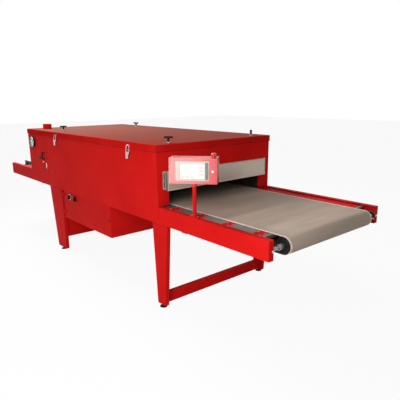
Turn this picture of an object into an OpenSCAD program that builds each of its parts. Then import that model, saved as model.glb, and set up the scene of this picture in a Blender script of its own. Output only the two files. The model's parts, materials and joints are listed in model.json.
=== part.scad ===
// Conveyor dryer: a belt carries printed goods through a heated tunnel.
// Millimetres. +X runs with the belt to the outfeed, +Y to the hinged side, +Z up, floor at 0.

/* [Overall] */
// Width of the belt
belt_w = 1000; // [900:10:1100]
// Height of the top of the side rails above the floor
work_h = 900; // [860:5:1000]
// Length of the hood
body_len = 2730; // [2500:10:3000]
// Length of the rear chamber at the infeed end of the hood
rear_len = 555; // [500:5:600]
// Rail length that shows before the hood
infeed_len = 730; // [650:10:900]
// Rail length that shows after the hood
outfeed_len = 1157; // [1100:10:1400]

/* [Rails and bed] */
// Distance from the belt's edge to the inside of a side rail
rail_clear = 120; // [110:1:140]
// Height of a side rail
rail_h = 138; // [134:1:150]
// Width of a side rail
rail_t = 45; // [40:1:50]
// Wall of a side rail
rail_wall = 3; // [2:0.5:4]
// Width of a cross member along the belt
member_w = 85; // [60:1:100]
// Height of a cross member
member_h = 40; // [30:1:45]
// Distance from one cross member to the next
member_pitch = 295; // [250:5:340]
// Distance from the hood to the middle of the first cross member of the outfeed
member_first = 95; // [80:1:110]
// Thickness of a slider plate
plate_t = 2; // [1:0.5:3]
// Depth of the turned-down edges of a slider plate
plate_lip = 20; // [10:1:28]
// Thickness of an infeed guide strip
guide_t = 8; // [5:1:10]
// Height of an infeed guide strip over the bed
guide_h = 38; // [20:1:45]
// Distance from the belt edge to the guide strip
guide_gap = 4; // [2:1:8]

/* [Belt and rollers] */
// Thickness of the belt
belt_t = 3; // [2:0.5:4]
// Depth of the belt's top face below the rail tops
belt_drop = 10; // [6:1:12]
// Radius of the belt's outer face at the end rollers
wrap_r = 62.5; // [58:0.5:63]
// Distance from a roller's axis to the end of the outfeed rails
axis_inset = 22; // [20:1:26]
// Radius of the end rollers' shaft
shaft_r = 12; // [10:0.5:14]
// Radius of the hub outside an end disc
hub_r = 22; // [18:1:26]
// Length of the hub outside an end disc
hub_len = 55; // [40:1:80]
// Thickness of a roller's end disc
disc_t = 12; // [8:1:16]
// Radius of a return roller
return_r = 16; // [12:1:20]
// Radius of a return roller's shaft
return_shaft_r = 6; // [5:0.5:7]
// Distance from the middle of the machine to each return roller
return_x = 1400; // [1320:10:1500]
// Width of a hanger plate of a return roller
hanger_w = 60; // [44:1:80]
// Thickness of a hanger plate of a return roller
hanger_t = 6; // [4:1:8]
// Width of a bearing block along the rail
block_w = 58; // [50:1:64]
// Height of a bearing block
block_h = 64; // [50:1:80]
// Radius of a tension bolt
tension_r = 6; // [5:0.5:8]

/* [Drive] */
// Width and height of the gearbox
gearbox_w = 120; // [100:1:130]
// Depth of the gearbox outside the rail
gearbox_d = 92; // [80:1:100]
// Radius of the motor
motor_r = 52; // [45:1:55]
// Length of the motor
motor_len = 215; // [180:5:240]

/* [Hood] */
// Height of the visible hood side above the rails, up to the lid
hood_h = 440; // [400:5:500]
// Thickness of the hood's sheet
skin = 3; // [2:0.5:4]
// Depth of the end frames along the belt
portal_t = 30; // [25:1:40]
// Distance from the belt's edge to the side of the tunnel's mouth
mouth_clear = 53; // [40:1:60]
// Height of the tunnel's mouth above the rails, behind the shutter
mouth_h = 220; // [200:5:240]
// Width of a corner post
post_w = 48; // [40:1:52]
// Width and depth of the seam beside a corner post
seam = 1.6; // [1:0.2:2]
// Thickness of the inner liner
liner_t = 2; // [1:0.5:3]

/* [Lid] */
// Height of the lid's turned-down lip
lip_h = 55; // [45:1:65]
// Gap between the lid's lip and the hood
lip_gap = 2; // [2:0.5:3]
// Inset of the lid's insulation on the side of the latches
wool_near = 30; // [20:1:60]
// Inset of the lid's insulation on the side of the hinges
wool_far = 70; // [68:1:110]
// Radius of a hinge knuckle
knuckle_r = 7; // [6:0.5:8]
// Radius of a hinge pin
hinge_pin_r = 4; // [3:0.5:4.5]
// Length of one hinge
hinge_len = 120; // [90:5:150]
// Height of a hinge leaf
leaf_h = 42; // [30:1:46]
// Outer radius of the exhaust stub
stub_r = 50; // [45:1:60]
// Height of the exhaust stub above the lid
stub_h = 58; // [45:1:80]
// Wall of the exhaust stub
stub_wall = 3; // [2:0.5:4]
// Distance from the rear end of the hood to the exhaust's axis
stub_from_rear = 225; // [200:5:260]
// Distance from the near side of the hood to the exhaust's axis
stub_in = 158; // [140:1:200]

/* [Heater and its screws] */
// Inset of the lift screws from the belt's edge
screw_in = 10; // [6:1:40]
// Distance from the hood's front to the front lift screws
screw_front = 75; // [70:1:90]
// Distance from the rear chamber to the rear lift screws
screw_rear = 95; // [90:1:150]
// Radius of a lift screw
screw_r = 10; // [8:0.5:11]
// Depth of the heater's lower face below the rail tops plus the hood height
heater_low = 268; // [240:2:280]
// Height of a heater panel
heater_t = 30; // [20:1:36]
// Height of the heater frame
heater_frame_h = 40; // [30:1:40]
// Width of the heater frame's bars
heater_bar = 25; // [20:1:30]
// Number of heater panels
heater_count = 6; // [4:1:8]
// Length of a screw's cross handle
tee_len = 75; // [60:1:90]
// Radius of a screw's cross handle
tee_r = 8; // [6:0.5:9]
// Height of a cross handle's axis above the lid
tee_up = 46; // [40:1:56]

/* [Latches] */
// Distance from the hood's front to the front latch
latch_front = 392; // [300:1:450]
// Distance from the rear chamber to the rear latch
latch_rear = 290; // [240:1:330]
// Width of a latch lever
lever_w = 36; // [34:1:40]
// Length of a latch lever below its pivot
lever_len = 48; // [44:1:56]
// Radius of the bail's wire
wire_r = 2; // [1.5:0.5:2]
// Length of the bail
bail_len = 70; // [66:1:74]

/* [Shutters] */
// Height of a shutter
shutter_h = 147; // [130:1:150]
// Height of a shutter's lower edge above the rails
shutter_low = 135; // [130:1:150]
// Thickness of the shutter's raised middle
shutter_pad = 30; // [20:1:36]
// Width of the flat strip at each end of a shutter
shutter_flat = 28; // [26:1:34]
// Thickness of the flat strips
shutter_t = 2.5; // [2:0.5:3]
// Length of a slot in the shutter
slot_len = 118; // [110:1:120]
// Radius of the bolts in the slots
slot_bolt_r = 4; // [3:0.5:4]

/* [Control panel] */
// Width of the control panel's box
panel_w = 345; // [320:5:400]
// Height of the control panel's box
panel_h = 184; // [170:1:220]
// Depth of the control panel's box
panel_d = 110; // [90:1:130]
// Wall of the box
panel_wall = 2.5; // [2:0.5:3]
// Angle that the panel is turned towards the outfeed
panel_turn = 39.5; // [0:0.5:60]
// Distance from the hood's front to the panel's post
post_x = 428; // [400:1:470]
// Radius of the post
post_r = 15; // [13:0.5:18]
// Height of the panel's lower face above the rails
panel_up = 258; // [230:1:300]
// Width of the bezel
bezel_w = 240; // [220:1:244]
// Height of the bezel
bezel_h = 138; // [120:1:144]
// Width of the screen
screen_w = 182; // [160:1:190]
// Height of the screen
screen_h = 116; // [100:1:118]
// Radius of the push button
button_r = 10; // [8:0.5:12]
// Radius of the emergency stop's head
stop_r = 20; // [18:0.5:22]

/* [Legs] */
// Depth of a leg across the machine
leg_d = 38; // [34:1:44]
// Inset of the legs from the outside of the rails
leg_inset = 35; // [30:1:40]
// Sheet of a leg
leg_t = 3; // [2:0.5:4]
// Height of a leg's lower end above the floor
leg_low = 25; // [24:1:34]
// Radius of a foot's pad
pad_r = 32; // [28:1:36]
// Radius of a foot's stud
stud_r = 8; // [7:0.5:10]
// Height of the front crossbar
bar_h = 95; // [80:1:110]
// Height of the rear panel's lower edge above the floor
rear_panel_low = 165; // [140:5:200]

/* [Electrical cabinet] */
// Length of the cabinet
cabinet_len = 1050; // [950:10:1060]
// Distance from the hood's front to the cabinet's front end
cabinet_front = 850; // [830:5:900]
// Depth of the cabinet across the machine
cabinet_d = 600; // [500:10:640]
// Height of the cabinet
cabinet_h = 327; // [310:1:350]
// Sheet of the cabinet
cabinet_t = 2; // [1.5:0.5:3]
// Radius of the rotary switches' handles
dial_knob_r = 24; // [20:1:28]

/* [Rear chamber fittings] */
// Radius of the thermometer
gauge_r = 65; // [55:1:70]
// Depth of the thermometer's case
gauge_d = 25; // [20:1:30]
// Length of the fan's duct
duct_len = 200; // [180:5:205]
// Inner radius of the fan's duct
duct_r = 76; // [70:1:80]
// Width of the air inlet
inlet_w = 60; // [40:1:60]
// Height of the air inlet
inlet_h = 106; // [90:1:110]
// Width of the air damper's plate
damper_w = 113; // [100:1:120]

/* [Clearances] */
// Gap between faces of pieces that move past each other
face_gap = 0.3; // [0.2:0.1:0.5]
// Radial clearance of a shaft in its bearing
run_gap = 0.05; // [0.03:0.01:0.1]
// Radial clearance of a bolt or rod in a plain hole
hole_gap = 0.8; // [0.5:0.1:1.2]

/* [Hidden] */
$fn = 48;
round_fn = 96;
// Overrun of a cutting tool past the face that it leaves
over = 1;

// Colours
paint = [0.80, 0.10, 0.08];
zinc = [0.66, 0.66, 0.64];
steel = [0.72, 0.72, 0.73];
black = [0.06, 0.06, 0.06];
belt_tone = [0.58, 0.53, 0.47];
wool_tone = [0.80, 0.76, 0.62];
screen_tone = [0.92, 0.94, 0.95];

// Places along the belt
tip = wrap_r - axis_inset;
total_len = infeed_len + body_len + outfeed_len + tip;
x_in = -total_len / 2;
x_rear = x_in + infeed_len;
x_front = x_rear + body_len;
x_out = x_front + outfeed_len;
x_seam = x_rear + rear_len;
x_idler = x_out - axis_inset;
x_drive = x_in + wrap_r;

// Places across and up
rail_in = belt_w / 2 + rail_clear;
rail_y = rail_in + rail_t;
skin_y = rail_y + skin;
rail_low = work_h - rail_h;
belt_top = work_h - belt_drop;
axis_z = belt_top - wrap_r;
bed_top = belt_top - belt_t - face_gap;
lid_low = work_h + hood_h;
lid_top = lid_low + lip_h;
rim_z = lid_top - skin - face_gap;
mouth_y = belt_w / 2 + mouth_clear;

// Bed
shown_members = 4;
member_clear = 20;
member_count = floor((x_front + member_first + (shown_members - 1) * member_pitch
    - x_drive - wrap_r - member_clear - member_w / 2) / member_pitch) + 1;
member_at = [for (i = [0:member_count - 1]) x_front + member_first
    + (shown_members - 1 - i) * member_pitch];
bed_end = x_idler - wrap_r - plate_lip;

// Rollers
roller_r = wrap_r - belt_t - face_gap;
shaft_end = rail_y - rail_wall - face_gap;
hanger_y = rail_in - hanger_t;
return_z = belt_top - 2 * wrap_r - face_gap - return_r;
block_in = 14;
block_front = 18;
hex_h = 7;
hex_r = 11;
hanger_low = 8;
disc_step = 4;
motor_gap = 2;
cap_t = 12;
foot_rib = 14;
cowl_share = 0.8;
terminal_share = [0.25, 0.65];

// Lid and hinges
lid_y = skin_y + lip_gap + skin;
hinge_y = lid_y + knuckle_r + skin;
hinge_z = lid_low - knuckle_r;
hinge_share = [0.14, 0.5, 0.86];
plate_gap = 3;
stub_flange = 10;

// Heater
heater_z = lid_low - heater_low;
frame_z = heater_z + heater_t;
screw_x1 = x_front - screw_front;
screw_x2 = x_seam + screw_rear;
screw_y = belt_w / 2 - screw_in;
screw_at = [[screw_x1, -screw_y], [screw_x1, screw_y], [screw_x2, -screw_y], [screw_x2, screw_y]];
tee_turns = [49, 139, 60, 20];
lug_r = 20;
bar_in = 5;
collar_r = 17;
collar_h = 9;
neck_r = 11;
frame_x1 = screw_x1 + lug_r;
frame_x2 = screw_x2 - lug_r;
frame_y = screw_y + heater_bar / 2 - bar_in;
panel_gap = 16;
emitter_r = 9;
emitter_rows = 5;

// Latches
latch_at = [x_front - latch_front, x_seam + latch_rear];
pivot_out = 14;
pivot_down = 30;
pivot_y = -(skin_y + pivot_out);
pivot_z = lid_low - pivot_down;
base_t = 2;
base_w = 48;
base_h = 62;
ear_t = 8;
pin_r = 2.5;
lug_w = 16;
crank_y = 7;
crank_z = 14;
bail_y = pivot_y - crank_y;
bail_z = pivot_z - crank_z;
barrel_r = 4;
keeper_w = 24;
keeper_h = 30;
hook_out = 13;
hook_lip = 2;
bail_side = 5;
bail_w = lever_w + 2 * wire_r + bail_side;
bar_y = -lid_y - base_t - (hook_out - 2 * base_t) / 2;
bail_tilt = asin((bar_y - bail_y) / bail_len);
bar_z = bail_z + bail_len * cos(bail_tilt);
curl_turn = -25;

// Shutters
shutter_over = 11;
shutter_y = mouth_y + post_w + shutter_over;
slot_y = shutter_y - shutter_flat / 2;
slot_z = work_h + shutter_low + shutter_h / 2;
shutter_drop = 10;
fold = 12;
washer_r = 9;
washer_t = 1.6;
bolt_head = 5;
head_share = 0.8;

// Control panel
post_at = [x_front + post_x, -(rail_y - rail_t / 2)];
panel_low = work_h + panel_up;
socket_h = 30;
socket_wall = 4;
base_plate = [95, 40, 6];
base_bolt_x = 34;
bezel_off = -4;
bezel_t = 4;
module_d = 30;
strip_in = 31;
strip_x = panel_w / 2 - strip_in;
button_share = 0.49;
button_z = panel_h * button_share;
stem_share = 0.7;
button_out = 6;
button_travel = 3;
button_in = 12;
stop_neck = 10;
stop_gap = 7;
stop_h = 18;
stop_share = 0.6;
stop_travel = 5;
stop_up = stop_travel + stop_gap;

// Legs: each list holds the rear and front edge at the top, then at the bottom, from the hood's front
front_leg = [-140, 65, -93, 15];
rear_leg = [-2278, -1948, -2168, -1957];
leg_out = rail_y - leg_inset;
leg_in = leg_out - leg_d;
bar_up = 5;
bar_low = leg_low + bar_up;
stud_in = 4;
bar_front = -24;
bar_d = 40;
rear_panel_x = -1985;
flange = 24;
pad_t = 7;
cone_h = 6;
cone_share = 0.75;
nut_h = 9;
nut_r = 14;

// Cabinet
cab_x2 = x_front - cabinet_front;
cab_x1 = cab_x2 - cabinet_len;
hang_t = 10;
hang_w = 50;
hang_in = 60;
hang_end = 12;
cab_top = rail_low - hang_t;
cabinet_low = cab_top - cabinet_h;
door_t = 2.5;
door_y = leg_out;
cab_near = door_y - door_t - face_gap;
cab_far = cab_near - cabinet_d;
door_pin_r = 5;
door_knuckle = 9;
door_pin_out = 10;
door_pin_h = 40;
door_hinge_share = [0.2, 0.8];
switch_down = 72;
switch_z = rail_low - switch_down;
isolator_in = 162;
selector_in = 300;
isolator_x = cab_x1 + isolator_in;
selector_x = cab_x1 + selector_in;
escutcheon = 76;
escutcheon_t = 4;
knob_out = 26;
disc_out = 9;
grip_w = 12;
spindle_r = 5;
back_t = 3;
back_gap = 25;
spindle_in = 18;
gland_r = 17;
gland_len = 26;
cable_r = 7;
gland_in = 150;
gland_x = cab_x1 + gland_in;
gland_y = -(cab_near + cab_far) / 2;
breaker_h = 105;
breaker_w = 84;
breaker_count = 6;
supply_h = 70;
supply_d = 70;
drive_d = 140;
row_share = 0.9;
stud_share = 0.8;
drive_share = 0.2;

// Rear chamber
stub_at = [x_rear + stub_from_rear, stub_in - rail_y];
duct_wall = 4;
duct_down = 55;
duct_top = rim_z - duct_down;
fan_shelf_t = 4;
fan_shelf_w = 200;
fan_shelf_z = 66;
fan_shaft_in = 20;
fan_motor_r = 35;
fan_motor_h = 60;
fan_motor_low = 12;
spider_t = 5;
spider_count = 3;
spider_turn = 30;
fan_hub_r = 25;
fan_hub_h = 40;
fan_shaft_r = 4;
fan_gap = 8;
blade_t = 2;
blade_tip_gap = 4;
blade_lean = 35;
blade_count = 6;
gauge_in = 150;
gauge_up = 345;
gauge_at = [x_rear + gauge_in, work_h + gauge_up];
needle_len = 48;
needle_w = 5;
needle_t = 1.5;
needle_hub = 6;
dial_z = 10;
needle_rest = 225;
needle_tail = 12;
needle_post_h = 9;
hub_h = 3;
bezel_ring = 7;
needle_post = 3;
needle_up = 4;
inlet_in = 75;
inlet_up = 75;
inlet_x = x_seam - inlet_in;
inlet_z = work_h + inlet_up;
damper_t = 2;
damper_open = 20;
guide_strip = [180, 10, 5];
guide_over = 4;
damper_knob_r = 7;
damper_knob_h = 14;
handle_in = 97;
handle_up = 203;
handle_x = x_seam - handle_in;
handle_z = work_h + handle_up;
handle_len = 90;
handle_r = 8;
handle_out = 26;
lock_in = 229;
lock_up = 170;
lock_x = x_seam - lock_in;
lock_z = work_h + lock_up;
lock_r = 19;
lock_t = 10;

// A box given by its lowest and highest corners
module slab(low, high) {
    translate(low) cube(high - low);
}

// A rod along X from one place to another
module rod_x(x1, x2, y, z, r) {
    translate([x1, y, z]) rotate([0, 90, 0]) cylinder(r = r, h = x2 - x1);
}

// A rod along Y from one place to another
module rod_y(y1, y2, x, z, r) {
    translate([x, y1, z]) rotate([-90, 0, 0]) cylinder(r = r, h = y2 - y1);
}

// The child and its mirror image across the machine
module both_sides() {
    children();
    mirror([0, 1, 0]) children();
}

// Side rails: channels that open inwards, with closed ends and hangers for the return rollers
module rail_profile(side) {
    difference() {
        slab([x_in, rail_in, rail_low], [x_out, rail_y, work_h]);
        slab([x_in + rail_wall, rail_in - over, rail_low + rail_wall],
             [x_out - rail_wall, rail_y - rail_wall, work_h - rail_wall]);
        for (x = [x_in - over, x_out - rail_wall - over])
            rod_x(x, x + rail_wall + 2 * over, rail_in + block_in, axis_z, tension_r + hole_gap);
        if (side > 0)
            rod_y(rail_y - rail_wall - over, rail_y + over, x_drive, axis_z, shaft_r + hole_gap);
    }
}

module hangers() {
    for (x = [-return_x, return_x])
        difference() {
            slab([x - hanger_w / 2, hanger_y, return_z - return_shaft_r - hanger_low],
                 [x + hanger_w / 2, rail_in, rail_low + rail_h / 2]);
            rod_y(hanger_y - over, rail_in + over, x, return_z, return_shaft_r + run_gap);
        }
}

module side_rails() {
    color(paint) {
        rail_profile(1);
        mirror([0, 1, 0]) rail_profile(-1);
        both_sides() hangers();
    }
}

// Cross members carry the bed between the webs of the rails
module cross_members() {
    color(paint)
        for (x = member_at)
            slab([x - member_w / 2, -rail_y + rail_wall, bed_top - member_h],
                 [x + member_w / 2, rail_y - rail_wall, bed_top]);
}

module slider_plate(x1, x2) {
    difference() {
        slab([x1, -rail_in + over, bed_top - plate_lip], [x2, rail_in - over, bed_top]);
        slab([x1 + plate_t, -rail_in, bed_top - plate_lip - over],
             [x2 - plate_t, rail_in, bed_top - plate_t]);
    }
}

module slider_plates() {
    color(zinc) {
        for (i = [0:member_count - 2])
            slider_plate(member_at[i + 1] + member_w / 2, member_at[i] - member_w / 2);
        slider_plate(member_at[0] + member_w / 2, bed_end);
    }
}

// Guide strips keep goods off the gaps beside the infeed belt
module infeed_guides() {
    color(black) both_sides()
        slab([x_in + wrap_r, belt_w / 2 + guide_gap, bed_top],
             [x_rear - face_gap, belt_w / 2 + guide_gap + guide_t, bed_top + guide_h]);
}

// Belt: two flat runs and a half turn at each end roller
module belt_outline(r) {
    translate([x_drive, axis_z]) circle(r = r, $fn = round_fn);
    translate([x_idler, axis_z]) circle(r = r, $fn = round_fn);
    translate([x_drive, axis_z - r]) square([x_idler - x_drive, 2 * r]);
}

module belt() {
    color(belt_tone)
        translate([0, belt_w / 2, 0]) rotate([90, 0, 0]) linear_extrude(belt_w)
            difference() {
                belt_outline(wrap_r);
                belt_outline(wrap_r - belt_t);
            }
}

// End rollers: a drum between two discs, with a hub and a shaft at each end
module end_roller(x, y_far) {
    rod_y(-belt_w / 2, belt_w / 2, x, axis_z, roller_r);
    rod_y(-belt_w / 2 - disc_t / 2, belt_w / 2 + disc_t / 2, x, axis_z, roller_r - disc_step);
    rod_y(-belt_w / 2 - hub_len, belt_w / 2 + hub_len, x, axis_z, hub_r);
    rod_y(-shaft_end, y_far, x, axis_z, shaft_r);
}

module drive_roller() {
    color(steel) end_roller(x_drive, rail_y + gearbox_d - cap_t);
}

module idler_roller() {
    color(steel) end_roller(x_idler, shaft_end);
}

module return_roller(x) {
    rod_y(-belt_w / 2 - over, belt_w / 2 + over, x, return_z, return_r);
    rod_y(-rail_in, rail_in, x, return_z, return_shaft_r);
}

module return_roller_front() {
    color(steel) return_roller(return_x);
}

module return_roller_rear() {
    color(steel) return_roller(-return_x);
}

// Bearing blocks of the end rollers, inside the rail ends
module bearing_block(x, forward) {
    x1 = forward > 0 ? x + block_front - block_w : x - block_front;
    difference() {
        slab([x1, rail_in - rail_wall, axis_z - block_h / 2],
             [x1 + block_w, rail_y - rail_wall, axis_z + block_h / 2]);
        rod_y(rail_in - rail_wall - over, rail_y, x, axis_z, shaft_r + run_gap);
    }
}

module bearing_blocks() {
    color(steel) both_sides() {
        bearing_block(x_idler, 1);
        bearing_block(x_drive, -1);
    }
}

// Hexagon head with its bolt: the head stands on the face at 0 and the bolt goes below it
module hex_bolt(r, head_r, head_h, length) {
    cylinder(r = head_r, h = head_h, $fn = 6);
    translate([0, 0, -length]) cylinder(r = r, h = length);
}

module shutter_bolt() {
    cylinder(r = washer_r, h = washer_t);
    translate([0, 0, washer_t]) hex_bolt(slot_bolt_r, washer_r * head_share, bolt_head, washer_t);
    translate([0, 0, -shutter_t - 2 * face_gap])
        cylinder(r = slot_bolt_r, h = shutter_t + 2 * face_gap + washer_t);
}

// Fasteners of the frame: tension bolts, shutter bolts and the bolts of the panel's post
module frame_bolts() {
    stand = shutter_t + 2 * face_gap;
    color(steel) {
        both_sides() {
            translate([x_out, rail_in + block_in, axis_z]) rotate([0, 90, 0])
                hex_bolt(tension_r, hex_r, hex_h, x_out - x_idler - block_front);
            translate([x_in, rail_in + block_in, axis_z]) rotate([0, -90, 0])
                hex_bolt(tension_r, hex_r, hex_h, x_drive - block_front - x_in);
            translate([x_front + stand, slot_y, slot_z]) rotate([0, 90, 0]) shutter_bolt();
            translate([x_rear - stand, slot_y, slot_z]) rotate([0, -90, 0]) shutter_bolt();
        }
        for (x = [-base_bolt_x, base_bolt_x])
            translate([post_at.x + x, post_at.y, work_h + base_plate.z])
                cylinder(r = washer_r * head_share, h = bolt_head, $fn = 6);
    }
}

// Gearmotor: a worm gearbox on the far rail, with its motor along the rail
module gearmotor() {
    mid_y = rail_y + motor_gap + motor_r + rail_wall;
    motor_x = x_drive + gearbox_w / 2;
    color(zinc) {
        difference() {
            union() {
                slab([x_drive - gearbox_w / 2, rail_y, axis_z - gearbox_w / 2],
                     [x_drive + gearbox_w / 2, rail_y + gearbox_d, axis_z + gearbox_w / 2]);
                rod_x(x_drive, motor_x + motor_len, mid_y, axis_z, motor_r);
                rod_x(motor_x + motor_len * cowl_share, motor_x + motor_len + cap_t,
                      mid_y, axis_z, motor_r + rail_wall);
            }
            rod_y(rail_y - over, rail_y + gearbox_d - cap_t + face_gap, x_drive, axis_z, shaft_r + run_gap);
        }
        slab([motor_x + motor_len * terminal_share[0], mid_y - motor_r / 2, axis_z + motor_r / 2],
             [motor_x + motor_len * terminal_share[1], mid_y + motor_r / 2, axis_z + motor_r + foot_rib]);
    }
}

// Hood sides of the heated tunnel
module hood_sides() {
    color(paint) both_sides()
        slab([x_seam + seam / 2, rail_y, rail_low], [x_front, skin_y, rim_z]);
}

// Side covers of the rear chamber; the near one has the air inlet
module rear_covers() {
    color(paint) {
        slab([x_rear, rail_y, rail_low], [x_seam - seam / 2, skin_y, rim_z]);
        difference() {
            slab([x_rear, -skin_y, rail_low], [x_seam - seam / 2, -rail_y, rim_z]);
            slab([inlet_x - inlet_w / 2, -skin_y - over, inlet_z - inlet_h / 2],
                 [inlet_x + inlet_w / 2, -rail_y + over, inlet_z + inlet_h / 2]);
        }
    }
}

// End frame: two posts and a header round the tunnel's mouth, with a seam beside each post
module end_frame() {
    difference() {
        slab([-portal_t, -rail_y, work_h], [0, rail_y, rim_z]);
        slab([-portal_t - over, -mouth_y, work_h - over], [over, mouth_y, work_h + mouth_h]);
        both_sides()
            slab([-seam, rail_y - post_w - seam, work_h - over], [over, rail_y - post_w, rim_z + over]);
    }
}

module front_end_frame() {
    color(paint) translate([x_front, 0, 0]) end_frame();
}

module rear_end_frame() {
    color(paint) translate([x_rear, 0, 0]) mirror([1, 0, 0]) end_frame();
}

// Inner liners of the heated tunnel
module tunnel_liners() {
    color(zinc) both_sides()
        slab([x_seam, mouth_y, belt_top + belt_t],
             [x_front - portal_t, mouth_y + liner_t, lid_low - face_gap]);
}

// Mineral wool between the liners and the hood sides
module side_insulation() {
    color(wool_tone) both_sides()
        slab([x_seam, mouth_y + liner_t, work_h], [x_front - portal_t, rail_y, lid_low - face_gap]);
}

// Lid: a shallow pan over the whole hood, with holes for the screws and the exhaust
module lid_shell() {
    end = lip_gap + skin;
    color(paint) difference() {
        slab([x_rear - end, -lid_y, lid_low], [x_front + end, lid_y, lid_top]);
        slab([x_rear - lip_gap, -lid_y + skin, lid_low - over],
             [x_front + lip_gap, lid_y - skin, lid_top - skin]);
        for (p = screw_at)
            translate([p.x, p.y, lid_top - skin - over])
                cylinder(r = screw_r + hole_gap, h = skin + 2 * over);
        translate([stub_at.x, stub_at.y, lid_top - skin - over])
            cylinder(r = stub_r - stub_wall, h = skin + 2 * over);
    }
}

module lid_insulation() {
    color(wool_tone) difference() {
        slab([x_seam, -rail_y + wool_near, lid_low],
             [x_front - portal_t - plate_gap, rail_y - wool_far, lid_top - skin]);
        for (p = screw_at)
            translate([p.x, p.y, lid_low - over]) cylinder(r = screw_r + plate_gap, h = lip_h + 2 * over);
    }
}

// Hinges: the lower leaves carry the pins, the upper leaves turn on them
module hinge_places() {
    for (s = hinge_share)
        translate([x_rear + s * body_len, 0, 0]) children();
}

module hinge_lower() {
    third = hinge_len / 3;
    color(steel) hinge_places() {
        slab([-hinge_len / 2, skin_y, hinge_z - leaf_h], [hinge_len / 2, skin_y + skin, hinge_z]);
        for (x = [-hinge_len / 2, third / 2 + face_gap]) {
            slab([x, skin_y, hinge_z - knuckle_r], [x + third - face_gap, hinge_y, hinge_z]);
            rod_x(x, x + third - face_gap, hinge_y, hinge_z, knuckle_r);
        }
        rod_x(-hinge_len / 2, hinge_len / 2, hinge_y, hinge_z, hinge_pin_r);
    }
}

module hinge_upper() {
    third = hinge_len / 3;
    color(steel) hinge_places() difference() {
        union() {
            slab([-hinge_len / 2, lid_y, hinge_z + knuckle_r + face_gap],
                 [hinge_len / 2, lid_y + skin, lid_top - skin]);
            slab([-third / 2, lid_y, hinge_z + hinge_pin_r + face_gap],
                 [third / 2, hinge_y, hinge_z + knuckle_r + face_gap]);
            rod_x(-third / 2, third / 2, hinge_y, hinge_z, knuckle_r);
        }
        rod_x(-third, third, hinge_y, hinge_z, hinge_pin_r + run_gap);
    }
}

// Exhaust stub on the lid
module exhaust_stub() {
    color(paint) translate([stub_at.x, stub_at.y, lid_top]) difference() {
        union() {
            cylinder(r = stub_r, h = stub_h);
            cylinder(r = stub_r + stub_flange, h = skin);
        }
        translate([0, 0, -over]) cylinder(r = stub_r - stub_wall, h = stub_h + 2 * over);
    }
}

// Collars that carry the lift screws on the lid
module screw_collars() {
    color(steel) for (p = screw_at)
        translate([p.x, p.y, lid_top]) difference() {
            cylinder(r = collar_r, h = collar_h);
            translate([0, 0, -over]) cylinder(r = screw_r + run_gap, h = collar_h + 2 * over);
        }
}

// Lift screws: a cross handle over its collar, and a long screw down to the heater frame
module lift_screw(i) {
    low = frame_z - skin;
    tee_z = lid_top + tee_up;
    color(black) translate([screw_at[i].x, screw_at[i].y, 0]) {
        translate([0, 0, low]) cylinder(r = screw_r, h = tee_z - low);
        translate([0, 0, lid_top + collar_h + face_gap])
            cylinder(r = neck_r, h = tee_up - collar_h - face_gap);
        rotate([0, 0, tee_turns[i]]) {
            rod_x(-tee_len / 2 + tee_r, tee_len / 2 - tee_r, 0, tee_z, tee_r);
            for (x = [-tee_len / 2 + tee_r, tee_len / 2 - tee_r])
                translate([x, 0, tee_z]) sphere(r = tee_r);
        }
    }
}

module lift_screw_1() {
    lift_screw(0);
}

module lift_screw_2() {
    lift_screw(1);
}

module lift_screw_3() {
    lift_screw(2);
}

module lift_screw_4() {
    lift_screw(3);
}

// Heater frame: a ladder of bars with a threaded lug at each screw
module heater_frame() {
    top = frame_z + heater_frame_h;
    step = (frame_x1 - frame_x2 - heater_bar) / heater_count;
    color(zinc) difference() {
        union() {
            both_sides()
                slab([frame_x2, frame_y - heater_bar, frame_z], [frame_x1, frame_y, top]);
            for (i = [0:heater_count])
                slab([frame_x2 + i * step, -frame_y, frame_z],
                     [frame_x2 + i * step + heater_bar, frame_y, top]);
            for (p = screw_at)
                translate([p.x, p.y, frame_z]) cylinder(r = lug_r, h = heater_frame_h);
        }
        for (p = screw_at)
            translate([p.x, p.y, frame_z - over])
                cylinder(r = screw_r + run_gap, h = heater_frame_h + 2 * over);
    }
}

// Radiant heater panels under the frame, each with its row of emitters
module heater_panels() {
    step = (frame_x1 - frame_x2 - heater_bar) / heater_count;
    clear_y = screw_y - screw_r - plate_gap;
    color(steel) for (i = [0:heater_count - 1]) {
        x1 = frame_x2 + i * step + heater_bar / 2 + panel_gap / 2;
        pan = step - panel_gap;
        slab([x1, -clear_y, heater_z + emitter_r], [x1 + pan, clear_y, frame_z]);
        for (k = [1:emitter_rows])
            rod_y(-clear_y, clear_y, x1 + k * pan / (emitter_rows + 1), heater_z + emitter_r, emitter_r);
    }
}

// Latches: a base with a lug and a pin, a lever, a bail and the keeper on the lid
module latch_bases() {
    color(steel) for (x = latch_at) {
        slab([x - base_w / 2, -skin_y - base_t, pivot_z - base_h / 2 - crank_y],
             [x + base_w / 2, -skin_y, pivot_z + base_h / 2 - crank_y]);
        slab([x - lug_w / 2, pivot_y, pivot_z - ear_t / 2],
             [x + lug_w / 2, -skin_y - base_t, pivot_z + ear_t / 2]);
        rod_x(x - lug_w / 2, x + lug_w / 2, pivot_y, pivot_z, ear_t / 2);
        rod_x(x - lever_w / 2, x + lever_w / 2, pivot_y, pivot_z, pin_r);
    }
}

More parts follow.
